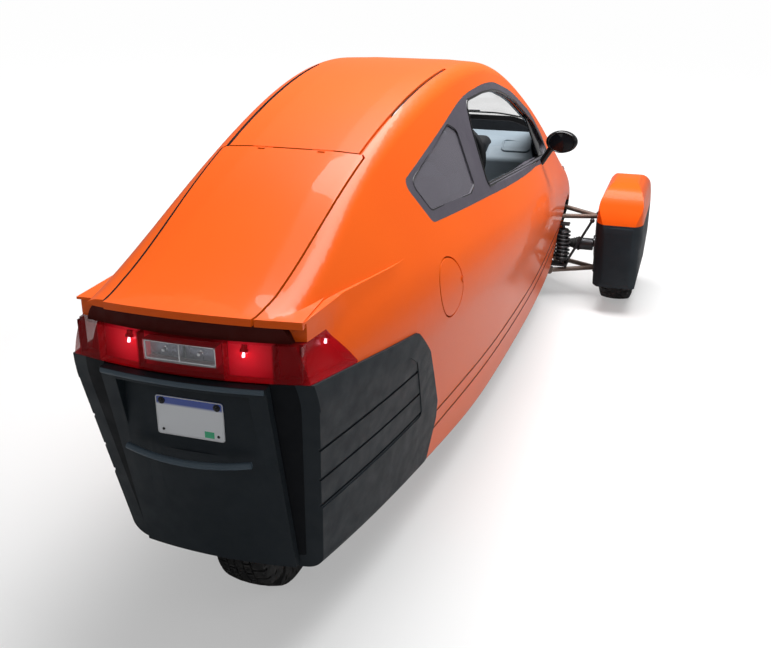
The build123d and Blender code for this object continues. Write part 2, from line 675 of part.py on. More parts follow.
def cabin_fittings():
    """Bulkheads, boot floor, dashboard, column, seats."""
    wall = cabin & slab((FIREWALL_X, FIREWALL_X + PLATE_WALL), ACROSS, UPWARD)
    rear = cabin & slab((BULKHEAD_X, BULKHEAD_X + PLATE_WALL), ACROSS, (0, BULKHEAD_TOP_Z))
    boot = cabin & slab((-1940, BULKHEAD_X - SEAM), ACROSS, (BOOT_FLOOR_Z, BOOT_FLOOR_Z + PLATE_WALL))
    save("bulkheads", biggest(wall), biggest(rear), biggest(boot))

    direction = Vector(cos(radians(COLUMN_TILT)), 0, -sin(radians(COLUMN_TILT)))
    centre = Vector(*WHEEL_CENTRE)
    start = centre + direction * 40
    column = Plane(origin=start, z_dir=direction) * extrude(Circle(COLUMN_RADIUS), amount=900)
    column = column & slab((0, FIREWALL_X - SEAM), (-100, 100), (0, 1200))
    save("steering_column", biggest(column))
    socket = Plane(origin=start, z_dir=direction) * extrude(Circle(COLUMN_RADIUS + SEAM), amount=900)
    dash = (body(SKIN + DASH_GAP) & side_prism(outline(DASH, DASH_ROUND), *ACROSS)) - socket
    save("dashboard", biggest(dash))

    rim = Plane(origin=centre, z_dir=direction) * Torus(STEERING_RADIUS, STEERING_RIM)
    hub = Plane(origin=centre - direction * 6, z_dir=direction) * extrude(Circle(42), amount=46 - SEAM)
    spokes = [Plane(origin=centre, x_dir=(0, 1, 0), z_dir=direction) * Rot(0, 0, angle)
              * Pos(STEERING_RADIUS / 2, 0, 0) * Box(STEERING_RADIUS, 26, 8) for angle in (0, 180, 270)]
    save("steering_wheel", biggest(hub + rim + spokes))

    frame = outline(SEAT_FRAME, 12)
    floor_seat = side_prism(frame, -200, 200) & cabin
    save("front_seat_frame", biggest(floor_seat))
    for name, points, under, half in (("front_cushion", FRONT_CUSHION, frame, 225),
                                      ("front_backrest", FRONT_BACKREST, frame, 215),
                                      ("rear_cushion", REAR_CUSHION, None, 210),
                                      ("rear_backrest", REAR_BACKREST, outline(REAR_CUSHION, 26), 200)):
        face = outline(points, 26)
        if under:
            face = face - grow(under, SEAM)
        save(name, biggest(side_prism(face, -half, half) & cabin))


def tyre(centre_y, x):
    """A tyre about its own axle."""
    half = TYRE_WIDTH / 2
    section = Pos(RIM_RADIUS + (TYRE_RADIUS - RIM_RADIUS) / 2, 0) * RectangleRounded(
        TYRE_RADIUS - RIM_RADIUS, 2 * half, TYRE_SHOULDER)
    return Pos(x, centre_y, TYRE_RADIUS) * Rot(90, 0, 0) * revolve(Plane.XZ * section, Axis.Z)


def rim(centre_y, x, side, bore):
    """A spoked rim whose face looks towards the given side."""
    half = RIM_WIDTH / 2
    barrel = Cylinder(RIM_RADIUS - SEAM, RIM_WIDTH) - Cylinder(RIM_RADIUS - RIM_WALL, RIM_WIDTH)
    hub = Pos(0, 0, half - 45) * Cylinder(HUB_RADIUS, 60)
    spokes = [Rot(0, 0, 360 * i / SPOKES) * Pos((RIM_RADIUS - RIM_WALL) / 2, 0, half - 30)
              * Box(RIM_RADIUS - RIM_WALL + 2, SPOKE_WIDTH, SPOKE_DEPTH) for i in range(SPOKES)]
    shape = barrel + hub + spokes - Cylinder(bore, 300)
    return Pos(x, centre_y, TYRE_RADIUS) * Rot(-90 * side, 0, 0) * biggest(shape)


def front_corner():
    """The left front corner: arms, upright, shaft, tie rod, wheel and pod, each saved with its mirror image."""
    x = FRONT_AXLE_X
    y = KINGPIN_Y
    spindle_hole = SPINDLE_RADIUS + RUNNING_FIT
    pieces = {}
    for name, pivot_y, pivot_z, joint_z, up in (("upper_wishbone", UPPER_PIVOT_Y, UPPER_PIVOT_Z, UPPER_JOINT_Z, 1),
                                                ("lower_wishbone", LOWER_PIVOT_Y, LOWER_PIVOT_Z, LOWER_JOINT_Z, -1)):
        eye_z = joint_z + up * (SEAM + EYE_HEIGHT / 2)
        arm = Pos(x, y, eye_z) * Cylinder(EYE_RADIUS, EYE_HEIGHT)
        for spread in (-ARM_SPREAD, ARM_SPREAD):
            arm = arm + rod((x + spread, pivot_y, pivot_z), (x, y - 4, eye_z), ARM_RADIUS)
            arm = arm + rod((x + spread - 22, pivot_y, pivot_z), (x + spread + 22, pivot_y, pivot_z), 16)
        pieces[name] = biggest(arm - Pos(x, y, eye_z) * Cylinder(PIN_RADIUS + RUNNING_FIT, 200))
    save("wishbones", *both(pieces["upper_wishbone"]), *both(pieces["lower_wishbone"]))

    bar = slab((x - UPRIGHT_HALF_X, x + UPRIGHT_HALF_X), (y - UPRIGHT_HALF_Y, y + UPRIGHT_HALF_Y),
               (LOWER_JOINT_Z, UPPER_JOINT_Z))
    housing = Pos(x, y - UPRIGHT_HALF_Y, TYRE_RADIUS) * Rot(-90, 0, 0) * extrude(
        Circle(BEARING_RADIUS), amount=UPRIGHT_HALF_Y + BEARING_DEPTH)
    cavity = Pos(x, y - 40, TYRE_RADIUS) * Rot(-90, 0, 0) * extrude(Circle(CAVITY_RADIUS), amount=70)
    spindle = Pos(x, y + 34, TYRE_RADIUS) * Rot(-90, 0, 0) * extrude(Circle(SPINDLE_RADIUS), amount=SPINDLE_LENGTH)
    pins = Pos(x, y, (LOWER_JOINT_Z + UPPER_JOINT_Z) / 2) * Cylinder(
        PIN_RADIUS, UPPER_JOINT_Z - LOWER_JOINT_Z + 2 * EYE_HEIGHT + 8)
    tab = slab((x - 60, x + 60), (y + 18.3, y + 26), (330, 486))
    arm_end = (x + STEER_ARM, y - 20, TIE_ROD_Z + 28)
    steer = rod((x + CAVITY_RADIUS + 10, y + 4, TIE_ROD_Z + 28), arm_end, 9) + Pos(*arm_end) * Cylinder(16, 16)
    upright = biggest((bar + housing + pins) - cavity + spindle + tab + steer)
    shaft_start = ENGINE_HALF_WIDTH + SEAM
    shaft = rod((x, shaft_start, TYRE_RADIUS), (x, y - 10, TYRE_RADIUS), SHAFT_RADIUS)
    shaft = shaft + Pos(x, y, TYRE_RADIUS) * Sphere(SHAFT_BALL_RADIUS)
    for start, end in ((shaft_start, shaft_start + 60), (y - 90, y - 24)):
        shaft = shaft + rod((x, start, TYRE_RADIUS), (x, end, TYRE_RADIUS), 32)
    shaft = biggest(shaft)
    wheel_tyre = tyre(HALF_TRACK, x)
    wheel_rim = rim(HALF_TRACK, x, 1, spindle_hole)
    pod_solid = pod_form(0) - pod_form(POD_WALL)
    pod_solid = pod_solid & slab((0, 3000), (0, 1000), (POD_LOW_Z, 1000))
    doorway = slab((x - POD_DOORWAY_HALF, x + POD_DOORWAY_HALF), (HALF_TRACK - 140, HALF_TRACK - 85),
                   (0, POD_DOORWAY_TOP_Z))
    pod_solid = pod_solid - doorway
    split = slab((0, 3000), (0, 1000), (POD_SPLIT_Z - SEAM / 2, POD_SPLIT_Z + SEAM / 2))
    halves = sorted((pod_solid - split).solids(), key=lambda s: s.center().Z)
    for side, flip in (("left", False), ("right", True)):
        for name, shape in (("knuckle", upright), ("half_shaft", shaft), ("front_tyre", wheel_tyre),
                            ("front_rim", wheel_rim), ("pod_skirt", halves[0]), ("pod_top", halves[-1])):
            save(f"{name}_{side}", mirror(shape, about=Plane.XZ) if flip else shape)

    pull = rod((x - 30, y - 34, UPPER_JOINT_Z - 6), (x - 60, 462, 190), 7)
    rocker = slab((x - 110, x - 46), (SUBFRAME_Y + SEAM, 470), (172, 184))
    damper = rod((x - 88, 438, 184 + SEAM), (x - 88, 438, 395), 9)
    damper += rod((x - 88, 438, 205), (x - 88, 438, 372), DAMPER_RADIUS)
    save("suspension_struts", *both(biggest(pull + rocker)), *both(biggest(damper)))

    housing_bar = Plane.XZ.offset(-RACK_HOUSING_HALF) * Pos(x + STEER_ARM, TIE_ROD_Z) * extrude(
        Circle(RACK_HOUSING_RADIUS) - Circle(RACK_RADIUS + RUNNING_FIT), amount=2 * RACK_HOUSING_HALF)
    feet = [slab((x + STEER_ARM - 18, x + STEER_ARM + 18), (foot - 14, foot + 14), (150, TIE_ROD_Z - 16)) & cabin
            for foot in (-150, 150)]
    save("rack_housing", biggest(housing_bar + feet))
    bar = rod((x + STEER_ARM, -RACK_HALF, TIE_ROD_Z), (x + STEER_ARM, RACK_HALF, TIE_ROD_Z), RACK_RADIUS)
    tie = rod((x + STEER_ARM, RACK_HALF - 5, TIE_ROD_Z), (x + STEER_ARM, y - 20, TIE_ROD_Z), TIE_ROD_RADIUS)
    tie = tie + Pos(x + STEER_ARM, y - 20, TIE_ROD_Z) * Cylinder(14, 20)
    save("steering_rack", biggest(bar + both(tie)))


def pod_form(inset):
    """The wheel pod's outer form, moved inward by a distance."""
    side = [(FRONT_AXLE_X + px, pz) for px, pz in POD_PROFILE]
    front = [(HALF_TRACK + py, pz) for py, pz in POD_FRONT_VIEW]
    profile = outline(side[::-1], POD_SIDE_ROUND)
    view = outline(front, POD_FRONT_ROUND)
    if inset:
        profile = grow(profile, -inset)
        view = grow(view, -inset)
    plan = Pos(FRONT_AXLE_X + POD_PLAN_SHIFT, HALF_TRACK + 4) * RectangleRounded(
        2 * (POD_HALF_LENGTH - inset), 2 * (POD_HALF_WIDTH - inset), POD_PLAN_RADIUS - inset)
    across = extrude(Plane.YZ.offset(FRONT_AXLE_X - POD_REACH) * view, amount=2 * POD_REACH)
    return side_prism(profile, HALF_TRACK - POD_REACH, HALF_TRACK + POD_REACH) & across & top_prism(plan, 0, POD_HIGH)


def rear_end():
    """The swing arm, rear spindle and wheel."""
    x = REAR_AXLE_X
    arm = rod((SWING_PIVOT_X, -SWING_HALF - 20, SWING_PIVOT_Z), (SWING_PIVOT_X, SWING_HALF + 20, SWING_PIVOT_Z), 20)
    for y in (-SWING_HALF, SWING_HALF):
        arm = arm + rod((SWING_PIVOT_X, y, SWING_PIVOT_Z), (x, y, TYRE_RADIUS), SWING_RADIUS)
    arm = arm + rod((x, -SWING_HALF - 22, TYRE_RADIUS), (x, SWING_HALF + 22, TYRE_RADIUS), REAR_SPINDLE_RADIUS)
    for y in (-60, 60):
        arm = arm + slab((SWING_PIVOT_X, BULKHEAD_X - SEAM), (y - 8, y + 8), (300, 360))
    save("swing_arm", biggest(arm))
    save("rear_tyre", tyre(0, x))
    save("rear_rim", rim(0, x, 1, REAR_SPINDLE_RADIUS + RUNNING_FIT))


def structure():
    """The front subframe's side plates and the engine block."""
    x = FRONT_AXLE_X
    start = FIREWALL_X + PLATE_WALL + SEAM
    plate = slab((start, x + 170), (SUBFRAME_Y - SUBFRAME_WALL, SUBFRAME_Y), SUBFRAME_Z)
    for hole_x, hole_z, radius in ((x, TYRE_RADIUS, 60), (x + STEER_ARM, TIE_ROD_Z, 24)):
        plate = plate - rod((hole_x, 300, hole_z), (hole_x, 420, hole_z), radius)
    plate = plate & (cabin + left_prism(grow(bay_face, -SEAM), 300 + SEAM))
    top = slab((x - 110, x - 66), (SUBFRAME_Y - SEAM, 470), (395 + SEAM, 405))
    frame = biggest(biggest(plate) + top)
    bars = [slab((bar_x, bar_x + SUBFRAME_BAR), (SUBFRAME_WALL - SUBFRAME_Y, SUBFRAME_Y - SUBFRAME_WALL),
                 (SUBFRAME_Z[1] - SUBFRAME_BAR, SUBFRAME_Z[1])) for bar_x in (start + 60, x + 170 - SUBFRAME_BAR)]
    save("front_subframe", biggest(frame + mirror(frame, about=Plane.XZ) + bars))
    block = slab(ENGINE_X, (-ENGINE_HALF_WIDTH, ENGINE_HALF_WIDTH), ENGINE_Z) & cabin
    save("engine_block", biggest(block))


def mirrors():
    """The door mirrors on short stalks."""
    head = Plane.YZ.offset(350) * Pos(515, 985) * extrude(Ellipse(66, 46), amount=42)
    head = fillet(head.edges(), 14)
    stalk = rod((368, 431, 889), (368, 480, 968), 13)
    shape = biggest(head + stalk)
    shape = biggest(shape - body(-SEAM))
    save("mirror_left", shape)
    save("mirror_right", mirror(shape, about=Plane.XZ))


os.makedirs("parts", exist_ok=True)
lips = tail_lids()
front_lids()
door()
side_windows()
roof_slots()
tail()
nose()
flap()
body_shell(lips)
cabin_fittings()
front_corner()
rear_end()
structure()
mirrors()
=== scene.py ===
"""Looks of the three wheeled car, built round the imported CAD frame.

Metres, +X forward, +Y left, +Z up, origin on the ground at mid length.
"""

import json
import logging
import math
from dataclasses import dataclass, field
from enum import Enum
from typing import Optional, Sequence, Union

import bpy
from mathutils import Matrix, Vector
from mathutils.bvhtree import BVHTree

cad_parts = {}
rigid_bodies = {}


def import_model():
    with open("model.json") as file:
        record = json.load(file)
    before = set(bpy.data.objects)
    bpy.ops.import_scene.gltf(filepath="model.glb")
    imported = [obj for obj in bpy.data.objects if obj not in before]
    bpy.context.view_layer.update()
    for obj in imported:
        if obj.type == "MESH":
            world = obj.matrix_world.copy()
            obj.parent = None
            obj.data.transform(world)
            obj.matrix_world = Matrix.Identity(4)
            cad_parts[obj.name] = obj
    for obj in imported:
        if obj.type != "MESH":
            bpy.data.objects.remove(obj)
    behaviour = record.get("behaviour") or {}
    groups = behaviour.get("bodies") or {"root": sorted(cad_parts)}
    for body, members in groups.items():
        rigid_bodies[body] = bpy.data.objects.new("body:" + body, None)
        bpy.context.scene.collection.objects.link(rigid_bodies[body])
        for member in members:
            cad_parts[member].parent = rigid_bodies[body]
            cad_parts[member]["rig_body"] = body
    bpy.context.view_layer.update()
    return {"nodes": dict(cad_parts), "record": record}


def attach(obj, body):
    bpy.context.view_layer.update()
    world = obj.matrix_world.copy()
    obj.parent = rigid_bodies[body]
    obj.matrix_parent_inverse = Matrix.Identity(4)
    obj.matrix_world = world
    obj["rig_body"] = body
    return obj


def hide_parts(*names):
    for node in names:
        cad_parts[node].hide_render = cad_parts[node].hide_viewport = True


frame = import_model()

LOG = logging.getLogger("car")
Point = tuple[float, float, float]
Colour = tuple[float, float, float]
MERGE = 1e-5
MIRROR_Y = Matrix.Scale(-1.0, 4, (0.0, 1.0, 0.0))
FRONT_AXLE_X = 1.286
REAR_AXLE_X = -1.508
HALF_TRACK = 0.731
AXLE_Z = 0.275
TAIL_X = -1.986
TAIL_RADIUS = 1.2185
CORNER_STEPS = 5
CORNER_SHARE = 0.46


class Side(Enum):
    """Left or right of the car, with the sign of Y."""

    LEFT = 1
    RIGHT = -1

    @property
    def word(self) -> str:
        """The side's name in node names."""
        return self.name.lower()


class Value:
    """A number or vector socket, so that shader maths reads as an expression."""

    def __init__(self, graph: "Graph", socket: bpy.types.NodeSocket) -> None:
        """Wraps one output socket of a graph."""
        self.graph = graph
        self.socket = socket

    def _math(self, operation: str, first: "Operand", second: "Operand") -> "Value":
        """Adds one Math node and returns its result."""
        node = self.graph.node("ShaderNodeMath", {"operation": operation}, {0: first, 1: second})
        return Value(self.graph, node.outputs[0])

    def __add__(self, other: "Operand") -> "Value":
        """Sum."""
        return self._math("ADD", self, other)

    def __radd__(self, other: "Operand") -> "Value":
        """Sum with the number first."""
        return self._math("ADD", other, self)

    def __sub__(self, other: "Operand") -> "Value":
        """Difference."""
        return self._math("SUBTRACT", self, other)

    def __rsub__(self, other: "Operand") -> "Value":
        """Difference with the number first."""
        return self._math("SUBTRACT", other, self)

    def __mul__(self, other: "Operand") -> "Value":
        """Product."""
        return self._math("MULTIPLY", self, other)

    def __rmul__(self, other: "Operand") -> "Value":
        """Product with the number first."""
        return self._math("MULTIPLY", other, self)

    def __truediv__(self, other: "Operand") -> "Value":
        """Quotient."""
        return self._math("DIVIDE", self, other)

    def __gt__(self, other: "Operand") -> "Value":
        """1 where the value is above the other, else 0."""
        return self._math("GREATER_THAN", self, other)

    def __lt__(self, other: "Operand") -> "Value":
        """1 where the value is below the other, else 0."""
        return self._math("LESS_THAN", self, other)

    def function(self, operation: str, other: "Operand" = 0.0) -> "Value":
        """Any other Math operation, such as SINE, ABSOLUTE or POWER."""
        return self._math(operation, self, other)


Operand = Union[Value, float]


class Graph:
    """One material's node tree with a Principled shader at its end."""

    def __init__(self, name: str, colour: Colour, sockets: dict[str, object]) -> None:
        """Makes the material.

        Args:
            name: The material's name.
            colour: The plain base colour, also shown in the viewport.
            sockets: Fixed values of the shader's other sockets.
        """
        self.material = bpy.data.materials.new(name)
        self.material.use_nodes = True
        self.material.diffuse_color = (*colour, 1.0)
        self.tree = self.material.node_tree
        self.shader = self.tree.nodes["Principled BSDF"]
        self.shader.inputs["Base Color"].default_value = (*colour, 1.0)
        for socket, value in sockets.items():
            self.shader.inputs[socket].default_value = value

    def node(self, kind: str, settings: dict[str, object], inputs: dict) -> bpy.types.Node:
        """Adds one node.

        Args:
            kind: The node's type.
            settings: Its attributes; "stops" holds a colour ramp's (place, colour) pairs.
            inputs: Values or links by socket name or number.

        Returns:
            The node.
        """
        made = self.tree.nodes.new(kind)
        for name, value in settings.items():
            if name == "stops":
                ramp = made.color_ramp
                for _ in range(len(value) - 2):
                    ramp.elements.new(0.5)
                for element, (place, colour) in zip(ramp.elements, value):
                    element.position = place
                    element.color = (*colour, 1.0)
            else:
                setattr(made, name, value)
        for name, value in inputs.items():
            if isinstance(value, Value):
                self.tree.links.new(value.socket, made.inputs[name])
            else:
                made.inputs[name].default_value = value
        return made

    def place(self) -> Value:
        """The piece's own Object coordinates."""
        return Value(self, self.node("ShaderNodeTexCoord", {}, {}).outputs["Object"])

    def parts(self, vector: Value) -> tuple[Value, Value, Value]:
        """A vector's three numbers."""
        split = self.node("ShaderNodeSeparateXYZ", {}, {0: vector})
        return tuple(Value(self, out) for out in split.outputs)

    def noise(self, scale: float, detail: float = 2.0) -> Value:
        """Fractal noise from 0 to 1."""
        inputs = {"Vector": self.place(), "Scale": scale, "Detail": detail}
        return Value(self, self.node("ShaderNodeTexNoise", {}, inputs).outputs["Fac"])

    def cells(self, scale: float) -> Value:
        """Distance to the nearest cell point."""
        inputs = {"Vector": self.place(), "Scale": scale}
        return Value(self, self.node("ShaderNodeTexVoronoi", {}, inputs).outputs["Distance"])

    def span(self, value: Value, low: float, high: float, to_low: float, to_high: float) -> Value:
        """Maps a range to another and holds it at its ends."""
        node = self.node("ShaderNodeMapRange", {}, {"Value": value, "From Min": low, "From Max": high,
                                                    "To Min": to_low, "To Max": to_high})
        return Value(self, node.outputs["Result"])

    def mix(self, share: Operand, first: Union[Value, Colour], second: Union[Value, Colour]) -> Value:
        """Blends two colours."""
        colours = [c if isinstance(c, Value) else (*c, 1.0) for c in (first, second)]
        node = self.node("ShaderNodeMix", {"data_type": "RGBA"}, {0: share, 6: colours[0], 7: colours[1]})
        return Value(self, node.outputs[2])

    def feed(self, socket: str, value: Value) -> None:
        """Links a value into the shader."""
        self.tree.links.new(value.socket, self.shader.inputs[socket])

    def bump(self, height: Value, strength: float, distance: float) -> None:
        """Feeds the shader's normal from a height."""
        node = self.node("ShaderNodeBump", {}, {"Height": height, "Strength": strength, "Distance": distance})
        self.feed("Normal", Value(self, node.outputs["Normal"]))


@dataclass(frozen=True)
class GlossPaint:
    """Solid gloss car paint under a clear coat."""

    name: str
    colour: Colour
    deep: Colour
    roughness: float = 0.38
    metallic: float = 0.0

    def build(self) -> bpy.types.Material:
        """Makes the material."""
        graph = Graph(self.name, self.colour, {"Metallic": self.metallic, "Roughness": self.roughness,
                                               "Specular IOR Level": 0.12, "Coat Weight": 0.22,
                                               "Coat Roughness": 0.03, "Coat IOR": 1.3})
        drift = graph.span(graph.noise(1.3), 0.35, 0.65, 0.0, 0.35)
        flake = graph.span(graph.noise(1400.0, 1.0), 0.4, 0.6, 0.0, 0.22)
        graph.feed("Base Color", graph.mix(drift + flake, self.colour, self.deep))
        graph.bump(graph.noise(420.0, 1.0), 0.02, 0.0004)
        return graph.material


@dataclass(frozen=True)
class GrainedPlastic:
    """Moulded plastic with a fine leather-like grain and light wear."""

    name: str
    colour: Colour
    worn: Colour
    roughness: float = 0.55
    grain: float = 900.0
    depth: float = 0.25
    specular: float = 0.28

    def build(self) -> bpy.types.Material:
        """Makes the material."""
        graph = Graph(self.name, self.colour, {"Specular IOR Level": self.specular})
        wear = graph.span(graph.noise(7.0, 5.0), 0.45, 0.75, 0.0, 0.55)
        speck = graph.span(graph.noise(self.grain * 0.5, 2.0), 0.45, 0.7, 0.0, 0.25)
        graph.feed("Base Color", graph.mix(wear + speck, self.colour, self.worn))
        graph.feed("Roughness", graph.span(graph.noise(22.0, 4.0), 0.3, 0.7, self.roughness - 0.07,
                                           self.roughness + 0.08))
        graph.bump(graph.cells(self.grain) + graph.noise(self.grain * 1.7, 2.0) * 0.5, self.depth, 0.0006)
        return graph.material


@dataclass(frozen=True)
class PlainGloss:
    """Smooth gloss plastic or a coated metal with faint smears."""

    name: str
    colour: Colour
    roughness: float = 0.12
    metallic: float = 0.0
    specular: float = 0.5

    def build(self) -> bpy.types.Material:
        """Makes the material."""
        graph = Graph(self.name, self.colour, {"Metallic": self.metallic,
                                               "Specular IOR Level": self.specular})
        paler = tuple(min(1.0, c * 1.5 + 0.004) for c in self.colour)
        graph.feed("Base Color", graph.mix(graph.noise(11.0, 4.0) * 0.35, self.colour, paler))
        graph.feed("Roughness", graph.span(graph.noise(35.0, 4.0), 0.3, 0.7, self.roughness * 0.7,
                                           self.roughness * 1.5))
        graph.bump(graph.noise(600.0, 2.0), 0.03, 0.0005)
        return graph.material


@dataclass(frozen=True)
class Glazing:
    """Window glass or a clear lens, seen through by its alpha."""

    name: str
    colour: Colour
    alpha: float
    ior: float = 2.1

    def build(self) -> bpy.types.Material:
        """Makes the material."""
        graph = Graph(self.name, self.colour, {"Roughness": 0.015, "IOR": self.ior})
        haze = graph.span(graph.noise(5.0, 3.0), 0.4, 0.7, 0.0, 0.05)
        graph.feed("Alpha", haze + self.alpha)
        graph.bump(graph.noise(2.2, 1.0), 0.02, 0.002)
        return graph.material


@dataclass(frozen=True)
class RedLens:
    """Red lamp plastic, part clear: bright over the lit chambers and the wrapped ends as a painted glow of
    the bulbs behind them, dark elsewhere.
    """

    name: str = "red_lens"
    colour: Colour = (0.72, 0.005, 0.012)
    dark: Colour = (0.24, 0.002, 0.004)
    alpha: float = 0.5
    flute: float = 1100.0
    chamber: tuple[float, float] = (0.110, 0.224)
    corner: float = 0.292

    def build(self) -> bpy.types.Material:
        """Makes the material."""
        graph = Graph(self.name, self.colour, {"Roughness": 0.08, "IOR": 1.25, "Specular IOR Level": 0.3})
        _, across, _ = graph.parts(graph.place())
        side = across.function("ABSOLUTE")
        low, high = self.chamber
        edge = 0.0015
        in_chamber = graph.span(side, low - edge, low + edge, 0.0, 1.0) * graph.span(
            side, high - edge, high + edge, 1.0, 0.0)
        wrapped = graph.span(side, self.corner - 0.012, self.corner + 0.022, 0.0, 1.0)
        share = in_chamber.function("MAXIMUM", wrapped * 0.85)
        cloud = graph.span(graph.noise(13.0, 3.0), 0.35, 0.7, 0.0, 0.45)
        # painted light: the base colour is brighter over the chambers and wrapped ends, where the lit bulbs
        # sit, for their glow through the lens
        graph.feed("Base Color", graph.mix(share - cloud * 0.4, self.dark, self.colour))
        graph.feed("Alpha", graph.span(share, 0.0, 1.0, self.alpha + 0.22, self.alpha) + cloud * 0.12)
        graph.bump((across * self.flute).function("SINE"), 0.1, 0.0005)
        return graph.material


@dataclass(frozen=True)
class LampBowl:
    """The lamp's inner housing: red bowls with painted light round the bulbs, bright red and glowing there,
    and painted shade between them.
    """

    name: str = "lamp_bowl"
    colour: Colour = (0.86, 0.012, 0.02)
    shade: Colour = (0.30, 0.004, 0.007)
    bulb_y: float = 0.148
    bulb_z: float = 0.903

    def build(self) -> bpy.types.Material:
        """Makes the material."""
        graph = Graph(self.name, self.colour, {"Roughness": 0.2, "Emission Strength": 0.55})
        _, across, z = graph.parts(graph.place())
        side = across.function("ABSOLUTE") - self.bulb_y
        rise = z - self.bulb_z
        away = (side * side + rise * rise).function("SQRT")
        # painted light: close to each bulb the bowl's colour and emission rise for the bulb's light on it;
        # further off they fall to the painted shade colour
        near = graph.span(away, 0.02, 0.085, 1.0, 0.0)
        graph.feed("Base Color", graph.mix(near, self.shade, self.colour))
        graph.feed("Emission Color", graph.mix(near, (0.05, 0.0, 0.001), (1.0, 0.02, 0.05)))
        graph.bump(graph.cells(240.0), 0.25, 0.001)
        return graph.material


@dataclass(frozen=True)
class Lit:
    """A glowing piece, such as a bulb or a lit reflector."""

    name: str
    colour: Colour
    strength: float

    def build(self) -> bpy.types.Material:
        """Makes the material."""
        graph = Graph(self.name, self.colour, {"Roughness": 0.3, "Emission Strength": self.strength})
        warm = tuple(min(1.0, c * 1.3 + 0.02) for c in self.colour)
        graph.feed("Emission Color", graph.mix(graph.noise(60.0, 2.0), self.colour, warm))
        return graph.material


@dataclass(frozen=True)
class Rubber:
    """Tyre rubber, dusty and dry."""

    name: str = "tyre_rubber"
    colour: Colour = (0.018, 0.018, 0.019)

    def build(self) -> bpy.types.Material:
        """Makes the material."""
        graph = Graph(self.name, self.colour, {"Specular IOR Level": 0.35})
        dust = graph.span(graph.noise(26.0, 5.0), 0.45, 0.8, 0.0, 0.6)
        graph.feed("Base Color", graph.mix(dust, self.colour, (0.06, 0.057, 0.053)))
        graph.feed("Roughness", graph.span(graph.noise(60.0, 3.0), 0.3, 0.7, 0.66, 0.86))
        graph.bump(graph.noise(900.0, 3.0), 0.2, 0.0006)
        return graph.material


@dataclass(frozen=True)
class CoatedMetal:
    """Metal with a satin coat, patches of grime and a fine grain."""

    name: str
    colour: Colour
    roughness: float = 0.4
    metallic: float = 0.7

    def build(self) -> bpy.types.Material:
        """Makes the material."""
        graph = Graph(self.name, self.colour, {"Metallic": self.metallic})
        grime = graph.span(graph.noise(14.0, 5.0), 0.42, 0.75, 0.0, 0.6)
        dark = tuple(c * 0.45 for c in self.colour)
        graph.feed("Base Color", graph.mix(grime, self.colour, dark))
        graph.feed("Roughness", graph.span(graph.noise(40.0, 4.0), 0.3, 0.7, self.roughness - 0.08,
                                           self.roughness + 0.12))
        graph.bump(graph.noise(700.0, 2.0), 0.08, 0.0005)
        return graph.material


@dataclass(frozen=True)
class WovenCloth:
    """Seat cloth in a plain weave with a soft pile and paler flecks."""

    name: str = "seat_cloth"
    colour: Colour = (0.055, 0.057, 0.062)
    thread: float = 1700.0

    def build(self) -> bpy.types.Material:
        """Makes the material."""
        graph = Graph(self.name, self.colour, {"Sheen Weight": 0.25, "Sheen Roughness": 0.5})
        x, y, z = graph.parts(graph.place())
        warp = (y * self.thread).function("SINE")
        weft = ((x + z) * self.thread).function("SINE")
        weave = warp * weft
        fleck = graph.span(graph.noise(500.0, 2.0), 0.35, 0.7, 0.0, 0.8)
        graph.feed("Base Color", graph.mix(fleck, self.colour, tuple(c * 2.1 for c in self.colour)))
        graph.feed("Roughness", graph.span(graph.noise(18.0, 3.0), 0.3, 0.7, 0.78, 0.95))
        graph.bump(weave + graph.noise(90.0, 3.0), 0.35, 0.0008)
        return graph.material


@dataclass(frozen=True)
class PlateCoat:
    """The blank rear plate: white reflective coat, a blue band along its top and a small green patch."""

    name: str = "plate_coat"
    white: Colour = (0.72, 0.74, 0.77)
    bead: Colour = (0.55, 0.58, 0.62)
    blue: Colour = (0.035, 0.075, 0.36)
    green: Colour = (0.02, 0.42, 0.2)
    band_z: float = 0.7585
    sticker: tuple[float, float, float, float] = (-0.062, -0.0365, 0.683, 0.7)

    def build(self) -> bpy.types.Material:
        """Makes the material."""
        graph = Graph(self.name, self.white, {"Roughness": 0.3, "Coat Weight": 0.4})
        _, y, z = graph.parts(graph.place())
        fade = graph.span(z, self.band_z - 0.004, self.band_z + 0.002, 0.0, 1.0)
        glass_bead = graph.span(graph.noise(1500.0, 1.0), 0.35, 0.65, 0.0, 0.2)
        white = graph.mix(glass_bead, self.white, self.bead)
        banded = graph.mix(fade, white, self.blue)
        y_low, y_high, z_low, z_high = self.sticker
        inside = (y > y_low) * (y < y_high) * (z > z_low) * (z < z_high)
        graph.feed("Base Color", graph.mix(inside, banded, self.green))
        graph.bump(graph.noise(900.0, 1.0), 0.05, 0.0004)
        return graph.material


@dataclass(frozen=True)
class Floor:
    """Plain pale floor: part of its light is its own, so that it is white with a soft shadow."""

    name: str = "floor"
    near_glow: float = 0.36
    far_glow: float = 0.86
    near: float = 2.0
    far: float = 5.0
    colour: float = 0.5
    mirrored: float = 0.12

    def build(self) -> bpy.types.Material:
        """Makes the material."""
        graph = Graph(self.name, (self.colour,) * 3, {"Roughness": 0.85, "Specular IOR Level": 0.0})
        rays = graph.node("ShaderNodeLightPath", {}, {})
        seen = Value(graph, rays.outputs["Is Camera Ray"]).function(
            "MAXIMUM", Value(graph, rays.outputs["Is Glossy Ray"]) * self.mirrored).function(
            "MAXIMUM", Value(graph, rays.outputs["Is Transmission Ray"]))
        graph.shader.inputs["Emission Color"].default_value = (1.0, 1.0, 1.0, 1.0)
        x, y, _ = graph.parts(graph.place())
        away = (x * x + y * y).function("SQRT")
        glow = graph.span(away, self.near, self.far, self.near_glow, self.far_glow)
        graph.feed("Emission Strength", seen * glow)
        return graph.material


